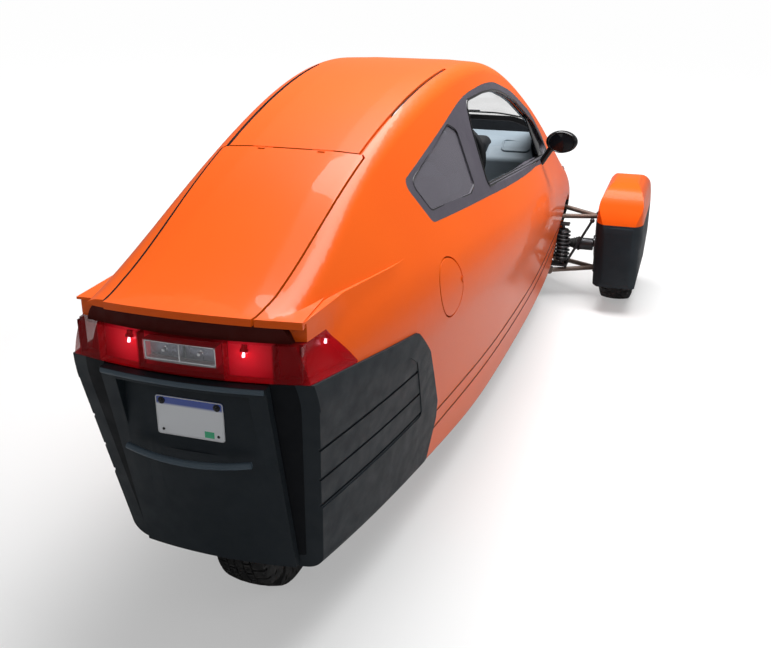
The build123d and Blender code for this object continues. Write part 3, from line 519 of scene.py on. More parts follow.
class Bench:
    """Modelling steps shared by the sub-assemblies."""

    @staticmethod
    def clear() -> None:
        """Deselects everything."""
        bpy.ops.object.select_all(action="DESELECT")

    @staticmethod
    def hold(piece: bpy.types.Object) -> None:
        """Makes one object the only selected and the active one."""
        Bench.clear()
        piece.select_set(True)
        bpy.context.view_layer.objects.active = piece

    @staticmethod
    def apply(piece: bpy.types.Object) -> None:
        """Applies the piece's modifiers and its place."""
        Bench.hold(piece)
        for modifier in list(piece.modifiers):
            bpy.ops.object.modifier_apply(modifier=modifier.name)
        bpy.ops.object.transform_apply(location=True, rotation=True, scale=True)

    @staticmethod
    def copy_node(node: str, name: str, angle: float = 30.0) -> bpy.types.Object:
        """A merged, smooth copy of a CAD node's mesh that stands for the node.

        Args:
            node: The CAD node.
            name: The new piece's name.
            angle: Edges sharper than this stay sharp, in degrees.

        Returns:
            The piece, riding on the node's body.
        """
        source = frame["nodes"][node]
        piece = bpy.data.objects.new(name, source.data.copy())
        bpy.context.scene.collection.objects.link(piece)
        Bench.hold(piece)
        bpy.ops.object.mode_set(mode="EDIT")
        bpy.ops.mesh.select_all(action="SELECT")
        bpy.ops.mesh.remove_doubles(threshold=MERGE)
        bpy.ops.object.mode_set(mode="OBJECT")
        bpy.ops.mesh.customdata_custom_splitnormals_clear()
        bpy.ops.object.shade_smooth_by_angle(angle=math.radians(angle))
        Bench.even(piece)
        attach(piece, source["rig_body"])
        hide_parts(node)
        return piece

    @staticmethod
    def even(piece: bpy.types.Object) -> None:
        """Lets each point's shading follow its largest faces, so that slivers don't show."""
        weighted = piece.modifiers.new("even", "WEIGHTED_NORMAL")
        weighted.keep_sharp = True
        weighted.weight = 60
        Bench.hold(piece)
        bpy.ops.object.modifier_apply(modifier=weighted.name)

    @staticmethod
    def line_inside(piece: bpy.types.Object, material: bpy.types.Material, centre_z: float = 0.75) -> None:
        """Gives the faces that look into the body a second material.

        Args:
            piece: A shell piece of the body.
            material: The lining's material.
            centre_z: The height of the line that the faces are judged from.
        """
        piece.data.materials.append(material)
        for polygon in piece.data.polygons:
            outward = Vector((0.25 * polygon.center.x, 2.2 * polygon.center.y, polygon.center.z - centre_z))
            if polygon.normal.dot(outward.normalized()) < -0.25:
                polygon.material_index = 1

    @staticmethod
    def crisp(piece: bpy.types.Object, width: float, angle: float = 38.0) -> None:
        """Joins a copy's flat triangles and rounds its sharp edges.

        Args:
            piece: A merged copy of a CAD node.
            width: The rounding's width.
            angle: Edges sharper than this are rounded, in degrees.
        """
        Bench.hold(piece)
        bpy.ops.object.mode_set(mode="EDIT")
        bpy.ops.mesh.select_all(action="SELECT")
        bpy.ops.mesh.dissolve_limited(angle_limit=math.radians(0.4))
        bpy.ops.object.mode_set(mode="OBJECT")
        bevel = piece.modifiers.new("edge", "BEVEL")
        bevel.width = width
        bevel.segments = 3
        bevel.limit_method = "ANGLE"
        bevel.angle_limit = math.radians(angle)
        bevel.harden_normals = True
        Bench.apply(piece)

    @staticmethod
    def block(name: str, low: Point, high: Point, bevel: float, segments: int = 3) -> bpy.types.Object:
        """A box between two corners with rounded edges."""
        Bench.clear()
        middle = tuple((a + b) / 2 for a, b in zip(low, high))
        bpy.ops.mesh.primitive_cube_add(size=1.0, location=middle)
        piece = bpy.context.object
        piece.name = piece.data.name = name
        piece.scale = tuple(b - a for a, b in zip(low, high))
        bpy.ops.object.transform_apply(location=True, rotation=True, scale=True)
        bpy.ops.object.mode_set(mode="EDIT")
        bpy.ops.mesh.select_all(action="SELECT")
        bpy.ops.mesh.bevel(offset=bevel, segments=segments, affect="EDGES", clamp_overlap=True)
        bpy.ops.object.mode_set(mode="OBJECT")
        bpy.ops.object.shade_smooth_by_angle(angle=math.radians(40.0))
        return piece

    @staticmethod
    def spun(name: str, profile: Sequence[tuple[float, float]], steps: int = 48,
             closed: bool = False, angle: float = 30.0) -> bpy.types.Object:
        """A profile of (radius, height) points turned about the Z axis.

        Args:
            name: The piece's name.
            profile: The section's points.
            steps: Steps round the axis.
            closed: Whether the section closes on itself.
            angle: Edges sharper than this stay sharp, in degrees.

        Returns:
            The turned piece.
        """
        piece = Bench.line(name, [(r, 0.0, h) for r, h in profile], 0.0, closed)
        Bench.hold(piece)
        bpy.ops.object.mode_set(mode="EDIT")
        bpy.ops.mesh.select_all(action="SELECT")
        bpy.ops.mesh.spin(steps=steps, angle=math.tau, center=(0.0, 0.0, 0.0), axis=(0.0, 0.0, 1.0))
        bpy.ops.mesh.select_all(action="SELECT")
        bpy.ops.mesh.remove_doubles(threshold=MERGE)
        bpy.ops.mesh.normals_make_consistent(inside=False)
        bpy.ops.object.mode_set(mode="OBJECT")
        bpy.ops.object.shade_smooth_by_angle(angle=math.radians(angle))
        return piece

    @staticmethod
    def line(name: str, points: Sequence[Point], radius: float, closed: bool = False,
             smooth: bool = False, sides: int = 3) -> bpy.types.Object:
        """A round strip along points, or the bare line when the radius is 0.

        Args:
            name: The piece's name.
            points: The strip's middle line.
            radius: Half its thickness.
            closed: Whether it runs round.
            smooth: Whether it is a smooth curve through control points.
            sides: Fineness of its roundness.

        Returns:
            The strip as a mesh.
        """
        curve = bpy.data.curves.new(name, "CURVE")
        curve.dimensions = "3D"
        curve.bevel_depth = radius
        curve.bevel_resolution = sides
        curve.use_fill_caps = radius > 0.0
        spline = curve.splines.new("NURBS" if smooth else "POLY")
        spline.points.add(len(points) - 1)
        for target, point in zip(spline.points, points):
            target.co = (*point, 1.0)
        spline.use_cyclic_u = closed
        if smooth:
            spline.order_u = 3
            spline.use_endpoint_u = not closed
        piece = bpy.data.objects.new(name, curve)
        bpy.context.scene.collection.objects.link(piece)
        Bench.hold(piece)
        bpy.ops.object.convert(target="MESH")
        piece = bpy.context.object
        piece.data.name = name
        if radius > 0.0:
            bpy.ops.object.shade_smooth_by_angle(angle=math.radians(50.0))
        return piece

    @staticmethod
    def sheet(name: str, outline: Sequence[tuple[float, float]], thickness: float,
              bevel: float = 0.0) -> bpy.types.Object:
        """A flat plate from an outline in its own plane, with softened edges."""
        curve = bpy.data.curves.new(name, "CURVE")
        curve.dimensions = "2D"
        curve.fill_mode = "BOTH"
        curve.extrude = thickness / 2 - bevel
        curve.bevel_depth = bevel
        curve.bevel_resolution = 2
        spline = curve.splines.new("POLY")
        spline.points.add(len(outline) - 1)
        for target, point in zip(spline.points, outline):
            target.co = (*point, 0.0, 1.0)
        spline.use_cyclic_u = True
        piece = bpy.data.objects.new(name, curve)
        bpy.context.scene.collection.objects.link(piece)
        Bench.hold(piece)
        bpy.ops.object.convert(target="MESH")
        piece = bpy.context.object
        piece.data.name = name
        bpy.ops.object.mode_set(mode="EDIT")
        bpy.ops.mesh.select_all(action="SELECT")
        bpy.ops.mesh.remove_doubles(threshold=MERGE)
        bpy.ops.mesh.normals_make_consistent(inside=False)
        bpy.ops.object.mode_set(mode="OBJECT")
        bpy.ops.object.shade_smooth_by_angle(angle=math.radians(40.0))
        return piece

    @staticmethod
    def move(piece: bpy.types.Object, matrix: Matrix) -> bpy.types.Object:
        """Moves a piece's mesh, its object staying at the origin."""
        piece.data.transform(matrix)
        if matrix.determinant() < 0:
            piece.data.flip_normals()
        return piece

    @staticmethod
    def fit(piece: bpy.types.Object, node: str, material: bpy.types.Material, slot: str) -> bpy.types.Object:
        """Coats a new piece and lets it ride on the body that carries a node."""
        Bench.coat(piece, material)
        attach(piece, frame["nodes"][node]["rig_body"])
        LOG.info("made %s on %s", piece.name, node)
        return piece

    @staticmethod
    def coat(piece: bpy.types.Object, material: bpy.types.Material, slot: Optional[str] = None) -> None:
        """Gives a piece one material all over."""
        piece.data.materials.clear()
        piece.data.materials.append(material)
        for polygon in piece.data.polygons:
            polygon.material_index = 0

    @staticmethod
    def join(pieces: Sequence[bpy.types.Object], name: str) -> bpy.types.Object:
        """Joins pieces into one mesh."""
        Bench.clear()
        for piece in pieces:
            piece.select_set(True)
        bpy.context.view_layer.objects.active = pieces[0]
        bpy.ops.object.join()
        pieces[0].name = name
        pieces[0].data.name = name
        return pieces[0]

    @staticmethod
    def twin(piece: bpy.types.Object, matrix: Matrix, name: str) -> bpy.types.Object:
        """A copy with its own mesh, moved by a matrix."""
        made = piece.copy()
        made.data = piece.data.copy()
        made.name = name
        bpy.context.scene.collection.objects.link(made)
        made.data.transform(matrix)
        if matrix.determinant() < 0:
            made.data.flip_normals()
        return made


class Palette:
    """Every finish of the car, made once and kept by its record slot."""

    def __init__(self) -> None:
        """Makes the materials."""
        finishes = {
            "paint": GlossPaint("gloss_orange", (0.84, 0.118, 0.005), (0.72, 0.08, 0.003)),
            "cladding": GrainedPlastic("slate_plastic", (0.010, 0.015, 0.020), (0.019, 0.026, 0.033),
                                       specular=0.2),
            "gloss_black": PlainGloss("gloss_black", (0.005, 0.005, 0.006), specular=0.3),
            "glass": Glazing("clear_glass", (0.02, 0.024, 0.026), 0.14),
            "tinted_glass": Glazing("tinted_glass", (0.13, 0.122, 0.145), 0.72, 1.45),
            "lens": Glazing("clear_lens", (0.5, 0.53, 0.56), 0.3),
            "red_lens": RedLens(),
            "plate": PlateCoat(),
            "trim": GrainedPlastic("door_trim", (0.27, 0.33, 0.38), (0.34, 0.40, 0.45), 0.6, 700.0, 0.2),
            "dash": GrainedPlastic("dark_trim", (0.02, 0.021, 0.024), (0.034, 0.035, 0.04), 0.62, 800.0, 0.3),
            "fabric": WovenCloth(),
            "arm": CoatedMetal("arm_coat", (0.20, 0.15, 0.125), 0.42, 0.5),
            "steel": CoatedMetal("dark_steel", (0.06, 0.06, 0.065), 0.4, 0.75),
            "alloy": CoatedMetal("cast_alloy", (0.46, 0.47, 0.49), 0.36, 0.9),
            "tyre": Rubber(),
            "lamp_bowl": LampBowl(),
            "frame": GrainedPlastic("frame_plastic", (0.064, 0.058, 0.074), (0.084, 0.077, 0.095)),
            # painted shadow: the panel under the ducktail is a dark red gloss that stands for the shade in
            # the gap there
            "tail_shade": PlainGloss("tail_shade", (0.06, 0.006, 0.004), 0.5, specular=0.1),
            "lining": GrainedPlastic("lining", (0.022, 0.022, 0.024), (0.035, 0.035, 0.038), 0.75, 500.0,
                                     0.15),
            # painted shade: the tail corners get a darker copy of the slate cladding because the tail face
            # takes less light
            "corner": GrainedPlastic("corner_plastic", (0.002, 0.003, 0.005), (0.004, 0.006, 0.009), 0.6,
                                     specular=0.12),
            # painted highlight: the bumper's lip and ledge get a paler plastic for the light that they catch
            "edge": GrainedPlastic("edge_plastic", (0.055, 0.08, 0.105), (0.075, 0.105, 0.13), 0.42),
            "lamp_wall": PlainGloss("lamp_wall", (0.16, 0.002, 0.004), 0.25),
            "bulb": Lit("lit_bulb", (1.0, 0.32, 0.42), 9.0),
            "red_chrome": PlainGloss("red_chrome", (0.55, 0.01, 0.014), 0.1, 0.8),
            "lamp_chrome": PlainGloss("lamp_chrome", (0.72, 0.73, 0.75), 0.14, 0.9),
            "reverse_bowl": CoatedMetal("reverse_bowl", (0.33, 0.33, 0.42), 0.25, 0.6),
            "plate_rim": PlainGloss("plate_rim", (0.62, 0.63, 0.65), 0.25),
            "mirror_silver": PlainGloss("mirror_silver", (0.008, 0.009, 0.012), 0.05, specular=0.15),
            "dial": PlainGloss("dial_face", (0.012, 0.012, 0.014), 0.1),
            "rubber_boot": GrainedPlastic("rubber_boot", (0.02, 0.02, 0.021), (0.05, 0.048, 0.045), 0.6,
                                          600.0, 0.2),
            "spring": CoatedMetal("spring_coat", (0.09, 0.09, 0.095), 0.35, 0.4),
        }
        self.by_slot = {slot: finish.build() for slot, finish in finishes.items()}

    def __getitem__(self, slot: str) -> bpy.types.Material:
        """The material of a record slot."""
        return self.by_slot[slot]


def rounded(corners: Sequence[Sequence[float]], radius: float) -> list[tuple[float, float]]:
    """A closed outline with a smooth curve in place of each corner.

    Args:
        corners: The outline's corners in order, each with a third number where it has its own radius.
        radius: The radius of the corners that name none.

    Returns:
        The points.
    """
    points = []
    for i, corner in enumerate(corners):
        here = Vector(corner[:2])
        back = Vector(corners[i - 1][:2]) - here
        ahead = Vector(corners[(i + 1) % len(corners)][:2]) - here
        half = back.angle(ahead) / 2
        own = corner[2] if len(corner) > 2 else radius
        cut = min(own / math.tan(half), CORNER_SHARE * min(back.length, ahead.length))
        start = here + back.normalized() * cut
        end = here + ahead.normalized() * cut
        for step in range(CORNER_STEPS + 1):
            share = step / CORNER_STEPS
            point = start * (1 - share) ** 2 + here * 2 * share * (1 - share) + end * share ** 2
            points.append((point.x, point.y))
    return points


def along(axis: Vector, place: Point) -> Matrix:
    """The matrix that turns Z to an axis and moves to a place."""
    return Matrix.Translation(place) @ Vector(axis).to_track_quat("Z", "Y").to_matrix().to_4x4()


def tail_x(y: float, proud: float = 0.0) -> float:
    """Where the upright tail face lies at a place across the car."""
    return TAIL_X + TAIL_RADIUS - math.sqrt(TAIL_RADIUS ** 2 - y ** 2) - proud


class Skin:
    """The outer surface of some nodes, for trim that follows it."""

    def __init__(self, *nodes: str) -> None:
        """Collects the nodes' triangles."""
        points: list[Vector] = []
        faces: list[tuple[int, ...]] = []
        for node in nodes:
            mesh = frame["nodes"][node].data
            start = len(points)
            points.extend(vertex.co.copy() for vertex in mesh.vertices)
            faces.extend(tuple(start + i for i in polygon.vertices) for polygon in mesh.polygons)
        self.tree = BVHTree.FromPolygons(points, faces)

    def side(self, x: float, z: float, sign: float, proud: float = 0.0) -> Point:
        """The outermost point at a place in side view, on the left for 1 and the right for -1."""
        place, normal, _, _ = self.tree.ray_cast(Vector((x, sign * 2.0, z)), Vector((0.0, -sign, 0.0)))
        if place is None:
            place, normal, _, _ = self.tree.find_nearest(Vector((x, sign * 0.5, z)))
        return tuple(place + normal * proud)

    def top(self, x: float, y: float, proud: float = 0.0) -> Point:
        """The topmost point at a place in plan."""
        place, normal, _, _ = self.tree.ray_cast(Vector((x, y, 3.0)), Vector((0.0, 0.0, -1.0)))
        if place is None:
            place, normal, _, _ = self.tree.find_nearest(Vector((x, y, 1.0)))
        return tuple(place + normal * proud)


@dataclass
class TailLamps:
    """The lamp band: lens, glowing housing, chamber walls, bulbs and the clear reverse lamp."""

    palette: "Palette"
    wall_y: tuple[float, ...] = (0.108, 0.226, 0.288)
    wall: float = 0.0022
    low_z: float = 0.855
    high_z: float = 0.942
    bulb_y: float = 0.148
    bulb_z: float = 0.903
    bulb_depth: float = 0.022
    side_bulb: Point = (-1.815, 0.292, 0.9)
    reverse_half: float = 0.090
    reverse_z: tuple[float, float] = (0.883, 0.927)

    def lens(self) -> None:
        """The band itself: lens outside, housing inside."""
        lens = Bench.copy_node("tail_lamp", "tail_lamp_lens")
        Bench.coat(lens, self.palette["red_lens"], "red_lens")
        lens.data.materials.append(self.palette["lamp_bowl"])
        for polygon in lens.data.polygons:
            outward = Vector((polygon.center.x + 1.55, polygon.center.y * 1.6, 0.0)).normalized()
            if polygon.normal.dot(outward) < -0.3:
                polygon.material_index = 1

    def walls(self) -> None:
        """The upright walls between the chambers."""
        for number, y in enumerate(self.wall_y):
            x = tail_x(y)
            wall = Bench.block(f"lamp_wall_left_{number}", (x + 0.003, y - self.wall / 2, self.low_z),
                               (x + 0.031, y + self.wall / 2, self.high_z), 0.0007, 2)
            Bench.fit(wall, "tail_lamp", self.palette["lamp_wall"], "red_lens")
            other = Bench.twin(wall, MIRROR_Y, f"lamp_wall_right_{number}")
            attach(other, wall["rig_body"])

    def bulbs(self) -> None:
        """The lit bulbs in their sockets, two at the rear, two at the sides."""
        glass = [(0.0, 0.0), (0.0028, 0.0005), (0.0038, 0.003), (0.0036, 0.006), (0.003, 0.009),
                 (0.0028, 0.013)]
        socket = [(0.0028, 0.012), (0.0095, 0.013), (0.0095, 0.02), (0.007, 0.021), (0.007, 0.03),
                  (0.0, 0.03)]
        depth = tail_x(self.bulb_y) + self.bulb_depth
        for number, place in enumerate(((depth, self.bulb_y, self.bulb_z), self.side_bulb)):
            for name, profile, finish in (("lamp_bulb", glass, "bulb"), ("lamp_socket", socket, "lamp_wall")):
                piece = Bench.spun(f"{name}_left_{number}", profile, 20)
                Bench.move(piece, along(Vector((0.35, 0.0, 1.0)), place))
                Bench.fit(piece, "tail_lamp", self.palette[finish], "red_lens")
                other = Bench.twin(piece, MIRROR_Y, f"{name}_right_{number}")
                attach(other, piece["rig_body"])

    def reflectors(self) -> None:
        """The oval reflector in each rear corner chamber."""
        bowl = [(0.0, 0.012), (0.012, 0.009), (0.021, 0.001), (0.0235, 0.0), (0.0235, 0.002), (0.0, 0.014)]
        piece = Bench.spun("lamp_reflector_left", bowl, 32)
        Bench.move(piece, Matrix.Diagonal((0.42, 1.0, 0.7, 1.0)))
        Bench.move(piece, Matrix.Translation((tail_x(0.257) + 0.015, 0.257, 0.862)))
        Bench.fit(piece, "tail_lamp", self.palette["red_chrome"], "red_lens")
        other = Bench.twin(piece, MIRROR_Y, "lamp_reflector_right")
        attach(other, piece["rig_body"])

    def reverse(self) -> None:
        """The clear lamp: a bright frame, a middle post, and two bowls with bulbs behind the lens."""
        lens = Bench.copy_node("reverse_lamp", "reverse_lamp_lens")
        Bench.coat(lens, self.palette["lens"], "lens")
        low, high = self.reverse_z
        half = self.reverse_half
        corners = [(-half, low), (half, low), (half, high), (-half, high)]
        frame_line = [(tail_x(y, -0.004), y, z) for y, z in rounded(corners, 0.006)]
        rim = Bench.line("reverse_rim", frame_line, 0.0024, closed=True)
        Bench.fit(rim, "reverse_lamp", self.palette["lamp_chrome"], "lens")
        face = tail_x(0)
        post = Bench.block("reverse_post", (face + 0.003, -0.0016, low), (face + 0.024, 0.0016, high),
                           0.0006, 2)
        Bench.fit(post, "reverse_lamp", self.palette["lamp_chrome"], "lens")
        glass = [(0.0, 0.0), (0.004, 0.001), (0.0052, 0.005), (0.0045, 0.011), (0.006, 0.012),
                 (0.006, 0.018), (0.0, 0.018)]
        for number, y in enumerate((-0.046, 0.046)):
            back = Bench.block(f"reverse_bowl_{number}", (tail_x(y) + 0.026, y - 0.042, low + 0.002),
                               (tail_x(y) + 0.03, y + 0.042, high - 0.002), 0.0015, 2)
            Bench.fit(back, "reverse_lamp", self.palette["reverse_bowl"], "lens")
            bulb = Bench.spun(f"reverse_bulb_{number}", glass, 20)
            Bench.move(bulb, along(Vector((1.0, 0.0, 0.0)), (tail_x(y) + 0.009, y, 0.905)))
            Bench.fit(bulb, "reverse_lamp", self.palette["lamp_chrome"], "lens")

    def build(self) -> None:
        """Makes the lamps."""
        self.lens()
        self.walls()
        self.bulbs()
        self.reflectors()
        self.reverse()


@dataclass
class RearPlate:
    """The blank number plate with its pale rim, bolts, washers and the lamp over it."""

    palette: "Palette"
    half_width: float = 0.089
    half_height: float = 0.051
    z: float = 0.728
    face_x: float = -1.9585
    bolt_y: float = 0.073
    bolt_z: float = 0.038

    def build(self) -> None:
        """Makes the plate's pieces."""
        corners = [(-self.half_width, -self.half_height), (self.half_width, -self.half_height),
                   (self.half_width, self.half_height), (-self.half_width, self.half_height)]
        turn = Matrix.Translation((self.face_x, 0.0, self.z)) @ Matrix(
            ((0.0, 0.0, -1.0, 0.0), (-1.0, 0.0, 0.0, 0.0), (0.0, 1.0, 0.0, 0.0), (0.0, 0.0, 0.0, 1.0)))
        plate = Bench.sheet("plate_sheet", rounded(corners, 0.008), 0.0014, 0.0004)
        Bench.move(plate, turn @ Matrix.Translation((0.0, 0.0, -0.0008)))
        Bench.fit(plate, "number_plate", self.palette["plate"], "plate")
        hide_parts("number_plate")
        inner = rounded([(y * 0.985, z * 0.975) for y, z in corners], 0.007)
        rim = Bench.line("plate_rim", [(y, z, 0.0) for y, z in inner], 0.0013, closed=True)
        Bench.move(rim, turn)
        Bench.fit(rim, "number_plate", self.palette["plate_rim"], "plate")
        dome = [(0.0, 0.0062), (0.003, 0.0058), (0.0055, 0.004), (0.0062, 0.002), (0.009, 0.0016),
                (0.009, 0.0), (0.0, 0.0)]
        flat = [(0.0, 0.0022), (0.003, 0.002), (0.0036, 0.001), (0.0036, 0.0), (0.0, 0.0)]
        for row, profile in ((1, dome), (-1, flat)):
            bolt = Bench.spun(f"plate_bolt_{row + 1}_left", profile, 24)
            Bench.move(bolt, turn @ Matrix.Translation((-self.bolt_y, row * self.bolt_z, 0.0)))
            Bench.fit(bolt, "number_plate", self.palette["gloss_black"], "plate")
            other = Bench.twin(bolt, MIRROR_Y, f"plate_bolt_{row + 1}_right")
            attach(other, bolt["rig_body"])
        hood = Bench.block("plate_lamp", (-1.974, -0.032, 0.806), (-1.957, 0.032, 0.8195), 0.003)
        Bench.fit(hood, "rear_bumper", self.palette["gloss_black"], "cladding")


@dataclass
class Bumper:
    """The rear bumper with softened edges, its rolled top lip and the ledge under the plate."""

    palette: "Palette"
    half: float = 0.212
    proud: float = 0.020
    lip_z: float = 0.838
    lip: float = 0.008
    ledge_half: float = 0.165
    ledge_x: float = -1.9985
    ledge_z: float = 0.6405
    ledge: float = 0.0085

    def build(self) -> None:
        """Makes the bumper's pieces."""
        skin = Bench.copy_node("rear_bumper", "rear_bumper_skin")
        Bench.crisp(skin, 0.006)
        Bench.coat(skin, self.palette["cladding"], "cladding")
        # painted highlight: the lip and the ledge are coated in the paler edge plastic, which stands for the
        # light they catch
        steps = 14
        line = [(tail_x(y, self.proud - 0.0035), y, self.lip_z)
                for y in (self.half * (2 * i / steps - 1) * 0.99 for i in range(steps + 1))]
        lip = Bench.line("bumper_lip", line, self.lip, smooth=True, sides=5)
        Bench.fit(lip, "rear_bumper", self.palette["edge"], "cladding")
        half = self.ledge_half
        ledge = [(self.ledge_x + 0.02 * (y / half) ** 2, y, self.ledge_z - 0.012 * (1 - (y / half) ** 2))
                 for y in (half * (2 * i / steps - 1) for i in range(steps + 1))]
        edge = Bench.line("bumper_ledge", ledge, self.ledge, smooth=True, sides=4)
        Bench.fit(edge, "rear_bumper", self.palette["edge"], "cladding")


@dataclass
class Wheel:
    """A tyre with its tread, shoulders and bead, and the nuts, valve and cap of its rim."""

    palette: "Palette"
    node: str
    rim_node: str
    place: Point
    side: float
    steps: int = 180
    radius: float = 0.2745
    bead: float = 0.190
    half: float = 0.082
    groove: float = 0.005
    nuts: int = 4
    nut_circle: float = 0.045

    def section(self) -> list[tuple[float, float]]:
        """The tyre's closed section as (radius, across) points."""
        r, h = self.radius, self.half
        ribs: list[tuple[float, float]] = []
        edges = (-0.058, -0.035, -0.0125, 0.0125, 0.035, 0.058)
        for number, across in enumerate(edges):
            crown = r - 0.10 * across ** 2 / 0.058
            if number in (0, len(edges) - 1):
                ribs.append((crown - 0.0005, across))
                continue
            half_groove = 0.0022
            ribs += [(crown, across - half_groove), (crown - 0.006, across - half_groove * 0.6),
                     (crown - 0.006, across + half_groove * 0.6), (crown, across + half_groove)]
        left = [(self.bead, -h + 0.014), (self.bead + 0.003, -h + 0.008), (self.bead + 0.014, -h + 0.003),
                (self.bead + 0.034, -h), (self.bead + 0.052, -h + 0.002), (r - 0.018, -h + 0.0075),
                (r - 0.009, -h + 0.013)]
        right = [(radius, -across) for radius, across in reversed(left)]
        inner = [(self.bead - 0.0002, h - 0.02), (self.bead + 0.001, 0.0), (self.bead - 0.0002, -h + 0.02)]
        return left + ribs + right + inner

    def tyre(self) -> None:
        """The tyre: a turned carcass whose shoulder ribs are cut into blocks."""
        tyre = Bench.spun(f"{self.node}_tread", self.section(), self.steps, closed=True, angle=28.0)
        Bench.hold(tyre)
        for polygon in tyre.data.polygons:
            centre = polygon.center
            across = abs(centre.z)
            turn = round(math.degrees(math.atan2(centre.y, centre.x)) / (360.0 / self.steps) - 0.5)
            outer = math.hypot(centre.x, centre.y) > self.radius - 0.02
            offset = 0 if centre.z > 0 else 2
            shoulder = 0.037 < across < 0.073 and (turn + offset) % 5 == 0
            middle = 0.0148 < across < 0.033 and (turn + offset + 2) % 5 == 0
            outward = Vector((centre.x, centre.y, 0.0)).normalized()
            polygon.select = outer and polygon.normal.dot(outward) > 0.3 and (shoulder or middle)
        bpy.ops.object.mode_set(mode="EDIT")
        bpy.ops.mesh.select_mode(type="FACE")
        bpy.ops.mesh.extrude_region_shrink_fatten(TRANSFORM_OT_shrink_fatten={"value": -self.groove})
        bpy.ops.object.mode_set(mode="OBJECT")
        bpy.ops.object.shade_smooth_by_angle(angle=math.radians(28.0))
        Bench.move(tyre, along(Vector((0.0, self.side, 0.0)), self.place))
        Bench.fit(tyre, self.node, self.palette["tyre"], "tyre")
        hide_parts(self.node)

    def hardware(self) -> None:
        """The nuts, centre cap, valve and bead ring on the rim's face."""
        nut = [(0.0, 0.012), (0.0055, 0.012), (0.0085, 0.008), (0.0085, 0.0), (0.0, 0.0)]
        cap = [(0.0, 0.010), (0.016, 0.009), (0.024, 0.006), (0.027, 0.0), (0.0, 0.0)]
        ring = [(0.181, 0.061), (0.1885, 0.061), (0.1925, 0.0655), (0.1885, 0.0675), (0.181, 0.066)]
        pieces = [Bench.spun("bead", ring, 72, closed=True)]
        pieces.append(Bench.move(Bench.spun("cap", cap, 32), Matrix.Translation((0.0, 0.0, 0.0555))))
        first = Bench.spun("nut", nut, 6, angle=20.0)
        for number in range(self.nuts):
            angle = math.radians(45.0 + 360.0 / self.nuts * number)
            spot = Matrix.Translation((self.nut_circle * math.cos(angle), self.nut_circle * math.sin(angle),
                                       0.0525))
            pieces.append(Bench.twin(first, spot, f"nut_{number}"))
        bpy.data.objects.remove(first)
        stem = [(0.0, 0.026), (0.003, 0.025), (0.003, 0.016), (0.0042, 0.0), (0.0, 0.0)]
        lean = Matrix.Translation((0.168, 0.0, 0.045)) @ Matrix.Rotation(-0.35, 4, "Y")
        pieces.append(Bench.move(Bench.spun("valve", stem, 12), lean))
        whole = Bench.join(pieces, f"{self.rim_node}_hardware")
        Bench.move(whole, along(Vector((0.0, self.side, 0.0)), self.place))
        Bench.fit(whole, self.rim_node, self.palette["alloy"], "alloy")

    def build(self) -> None:
        """Makes the wheel's pieces."""
        self.tyre()
        self.hardware()


